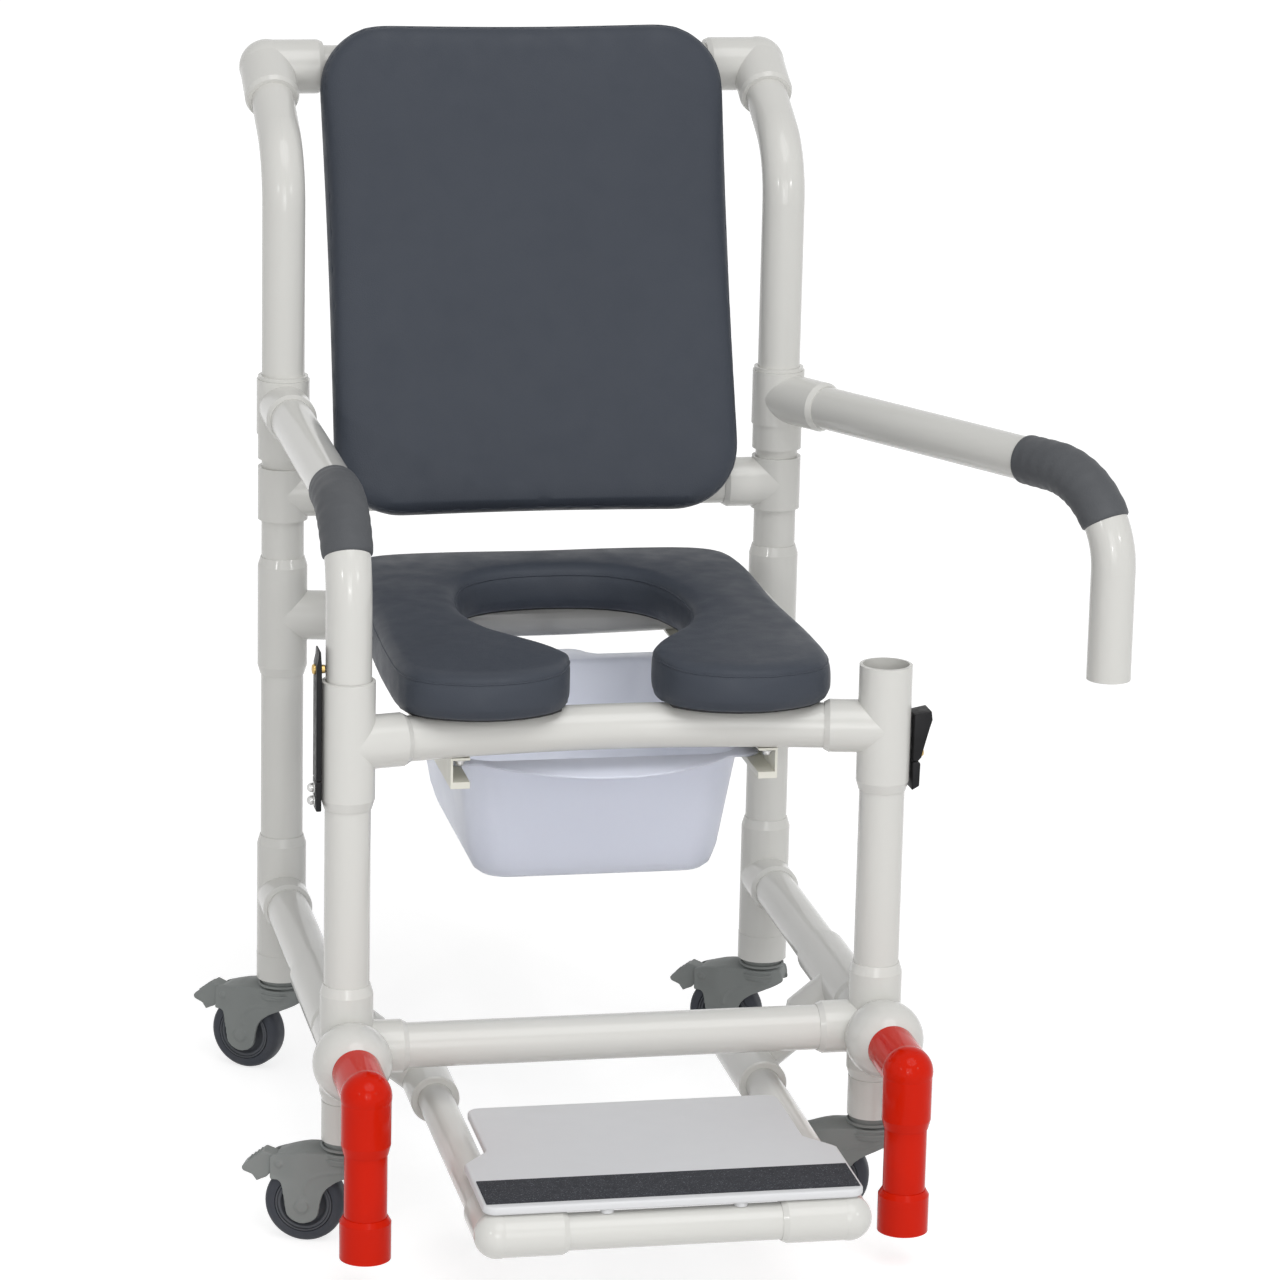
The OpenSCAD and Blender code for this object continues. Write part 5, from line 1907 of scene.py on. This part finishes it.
@dataclass
class FootPlate:
    """Foot plate with slanted shoulders and a strip of grit tape along its front."""

    low: float = 0.1350
    thick: float = 0.0080
    front: float = -0.541
    rear: float = -0.288
    step: float = -0.415
    wide: float = 0.1705
    narrow: float = 0.146
    corner: float = 0.012
    edge: float = 0.0024
    strip_w: float = 0.056
    strip_side: float = 0.003
    strip_front: float = 0.008
    strip_t: float = 0.0010
    strip_gap: float = 0.00005
    strip_edge: float = 0.0004

    def arc(self, x: float, y: float, r: float, start: float) -> list[Point]:
        """Draws a quarter round about a point, from an angle in degrees."""
        return [(x + r * math.cos(math.radians(start + a)), y + r * math.sin(math.radians(start + a)))
                for a in np.linspace(0, 90, 9)]

    def outline(self) -> list[Point]:
        """Draws the plate from above.

        Returns:
            Its outline, counter-clockwise.
        """
        c, s = self.corner, (self.wide - self.narrow) / 2
        right = [*self.arc(self.wide - c, self.front + c, c, -90), (self.wide, self.step - s - 0.004),
                 (self.wide - 0.003, self.step - s + 0.001), (self.narrow + 0.003, self.step + s - 0.001),
                 (self.narrow, self.step + s + 0.004), *self.arc(self.narrow - c, self.rear - c, c, 0)]
        return [*right, *((-x, y) for x, y in reversed(right))]

    def build(self, wardrobe: Wardrobe) -> None:
        """Makes the plate and its strip and dresses them.

        Args:
            wardrobe: The materials.
        """
        top = self.low + self.thick
        plate = prism("foot_board", self.outline(), self.low, top)
        round_bevel(plate, self.edge, 4)
        wardrobe.dress(plate, "plate_white", "footrest", ["footrest_plate"])
        x, y = self.wide - self.strip_side, self.front + self.strip_front
        tape = [(-x, y), (x, y), (x, y + self.strip_w), (-x, y + self.strip_w)]
        strip = prism("grit_strip", tape, top + self.strip_gap, top + self.strip_t)
        round_bevel(strip, self.strip_edge, 2)
        wardrobe.dress(strip, "strip_dark", "footrest", ["footrest_strip"])


# Studio -------------------------------------------------------------------------------------------


@dataclass(frozen=True)
class Lamp:
    """One soft box: its power, the side of its square, and where it hangs."""

    name: str
    power: float
    size: float
    spot: tuple[float, float, float]


@dataclass
class Studio:
    """White floor and surround, frontal soft light and the camera at the photograph's angle."""

    azimuth: float = math.radians(11.45)
    elevation: float = math.radians(14.63)
    roll: float = math.radians(1.26)
    place: tuple[float, float, float] = (-0.85999, -4.57140, 1.72355)
    focal_px: float = 5008.71
    image_px: float = 1280.0
    sensor: float = 36.0
    ambient: float = 0.40
    floor_half: float = 30.0
    floor_glow: float = 0.74
    floor_seen: float = 0.50
    floor_bounce: float = 0.90
    sun: float = 1.05
    sun_spread: float = math.radians(40)
    sun_turn: tuple[float, float, float] = (math.radians(30), math.radians(8), 0.0)
    lamps: tuple[Lamp, ...] = (
        Lamp("front_box", 27.0, 1.8, (-0.3, -4.0, 1.3)),
        Lamp("left_strobe", 9.0, 0.07, (-2.6, -2.9, 1.9)),
        Lamp("right_strobe", 9.0, 0.07, (2.3, -3.2, 1.9)),
        Lamp("camera_flash", 6.0, 0.12, (-0.7, -4.4, 1.2)),
    )
    aim: tuple[float, float, float] = (0.0, 0.0, 0.55)

    def camera(self) -> None:
        """Sets the camera where the photograph was taken from."""
        data = bpy.data.cameras.new("camera")
        data.sensor_fit = "HORIZONTAL"
        data.sensor_width = self.sensor
        data.lens = self.sensor * self.focal_px / self.image_px
        ca, sa, ce, se = (f(x) for x in (self.azimuth, self.elevation) for f in (math.cos, math.sin))
        ahead = Vector((sa * ce, ca * ce, -se))
        right = Vector((ca, -sa, 0.0))
        up = right.cross(ahead)
        c, s = math.cos(self.roll), math.sin(self.roll)
        right, up = c * right + s * up, c * up - s * right
        camera = bpy.data.objects.new("camera", data)
        turn = Matrix((right, up, -ahead)).transposed().to_4x4()
        camera.matrix_world = Matrix.Translation(Vector(self.place)) @ turn
        bpy.context.scene.collection.objects.link(camera)
        bpy.context.scene.camera = camera

    def seen(self, tree: Tree) -> Socket:
        """Tells the rays that show the surround, straight or mirrored, from those that only carry its light.

        Args:
            tree: The node tree of the floor or the world.

        Returns:
            A socket that is 1 for camera, glossy and transmission rays.
        """
        path = tree.nodes.new("ShaderNodeLightPath").outputs
        total = path["Is Camera Ray"]
        for name in ("Is Glossy Ray", "Is Transmission Ray"):
            both = {0: total, 1: path[name]}
            total = add_node(tree, "ShaderNodeMath", both, operation="MAXIMUM").outputs[0]
        return total

    def floor(self) -> None:
        """Lays a wide floor that looks white and keeps the chair's shadow."""
        half = self.floor_half
        corners = [(-half, -half, 0), (half, -half, 0), (half, half, 0), (-half, half, 0)]
        mesh = bpy.data.meshes.new("floor")
        mesh.from_pydata(corners, [], [(0, 1, 2, 3)])
        floor = add_piece("floor", mesh)
        paint = bpy.data.materials.new("floor_white")
        paint.use_nodes = True
        tree = paint.node_tree
        tree.nodes.remove(tree.nodes["Principled BSDF"])
        bounce, shadow = (
            add_node(tree, "ShaderNodeBsdfDiffuse", {"Color": (level, level, level, 1.0)}).outputs[0]
            for level in (self.floor_bounce, self.floor_seen)
        )
        glow = add_node(tree, "ShaderNodeEmission", {"Strength": self.floor_glow}).outputs[0]
        lit = add_node(tree, "ShaderNodeAddShader", {0: shadow, 1: glow}).outputs[0]
        pick = add_node(tree, "ShaderNodeMixShader", {0: self.seen(tree), 1: bounce, 2: lit})
        tree.links.new(pick.outputs[0], tree.nodes["Material Output"].inputs["Surface"])
        mesh.materials.append(paint)

    def surround(self) -> None:
        """Sets a surround that looks white and lights the chair at a plain level."""
        world = bpy.data.worlds.new("studio")
        world.use_nodes = True
        tree = world.node_tree
        strength = add_node(
            tree, "ShaderNodeMapRange", {"Value": self.seen(tree), "To Min": self.ambient, "To Max": 1.0}
        )
        backdrop = {"Color": (1.0, 1.0, 1.0, 1.0), "Strength": strength.outputs["Result"]}
        fill_inputs(tree, tree.nodes["Background"], backdrop)
        bpy.context.scene.world = world

    def light(self) -> None:
        """Hangs a broad box in front, small strobes for the gloss and a weak soft light from above."""
        sun = bpy.data.lights.new("sun", "SUN")
        sun.energy = self.sun
        sun.angle = self.sun_spread
        key = bpy.data.objects.new("sun", sun)
        key.rotation_euler = self.sun_turn
        bpy.context.scene.collection.objects.link(key)
        for lamp in self.lamps:
            data = bpy.data.lights.new(lamp.name, "AREA")
            data.energy = lamp.power
            data.size = lamp.size
            hung = bpy.data.objects.new(lamp.name, data)
            hung.location = lamp.spot
            towards = Vector(self.aim) - Vector(lamp.spot)
            hung.rotation_euler = towards.to_track_quat("-Z", "Y").to_euler()
            bpy.context.scene.collection.objects.link(hung)

    def build(self) -> None:
        """Sets the whole studio."""
        bpy.context.scene.view_settings.view_transform = "Standard"
        self.camera()
        self.floor()
        self.surround()
        self.light()


def main() -> None:
    """Builds the chair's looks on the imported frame."""
    logging.basicConfig(level=logging.INFO, format="%(name)s %(message)s")
    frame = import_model()
    wardrobe = Wardrobe(frame)
    wardrobe.dress_nodes()
    Studio().build()
    materials = wardrobe.materials
    welt = welt_recipe(materials["vinyl_slate"])
    domes = dome_screw_recipe(materials["screw_steel"])
    ribs = tread_rib_recipe(materials["caster_grey"])
    back = BackCushion()
    SeatCushion().build(wardrobe, welt)
    back.build(wardrobe, welt)
    ArmGrip(Side.LEFT, lead=0.020).build(wardrobe)
    ArmGrip(Side.RIGHT, lead=0.036, swing=math.radians(29.2)).build(wardrobe)
    Pail().build(wardrobe)
    CasterSet().build(wardrobe, ribs)
    Latches().build(wardrobe, domes)
    BackScrews(back).build(wardrobe, domes)
    FootPlate().build(wardrobe)


if __name__ == "__main__":
    main()
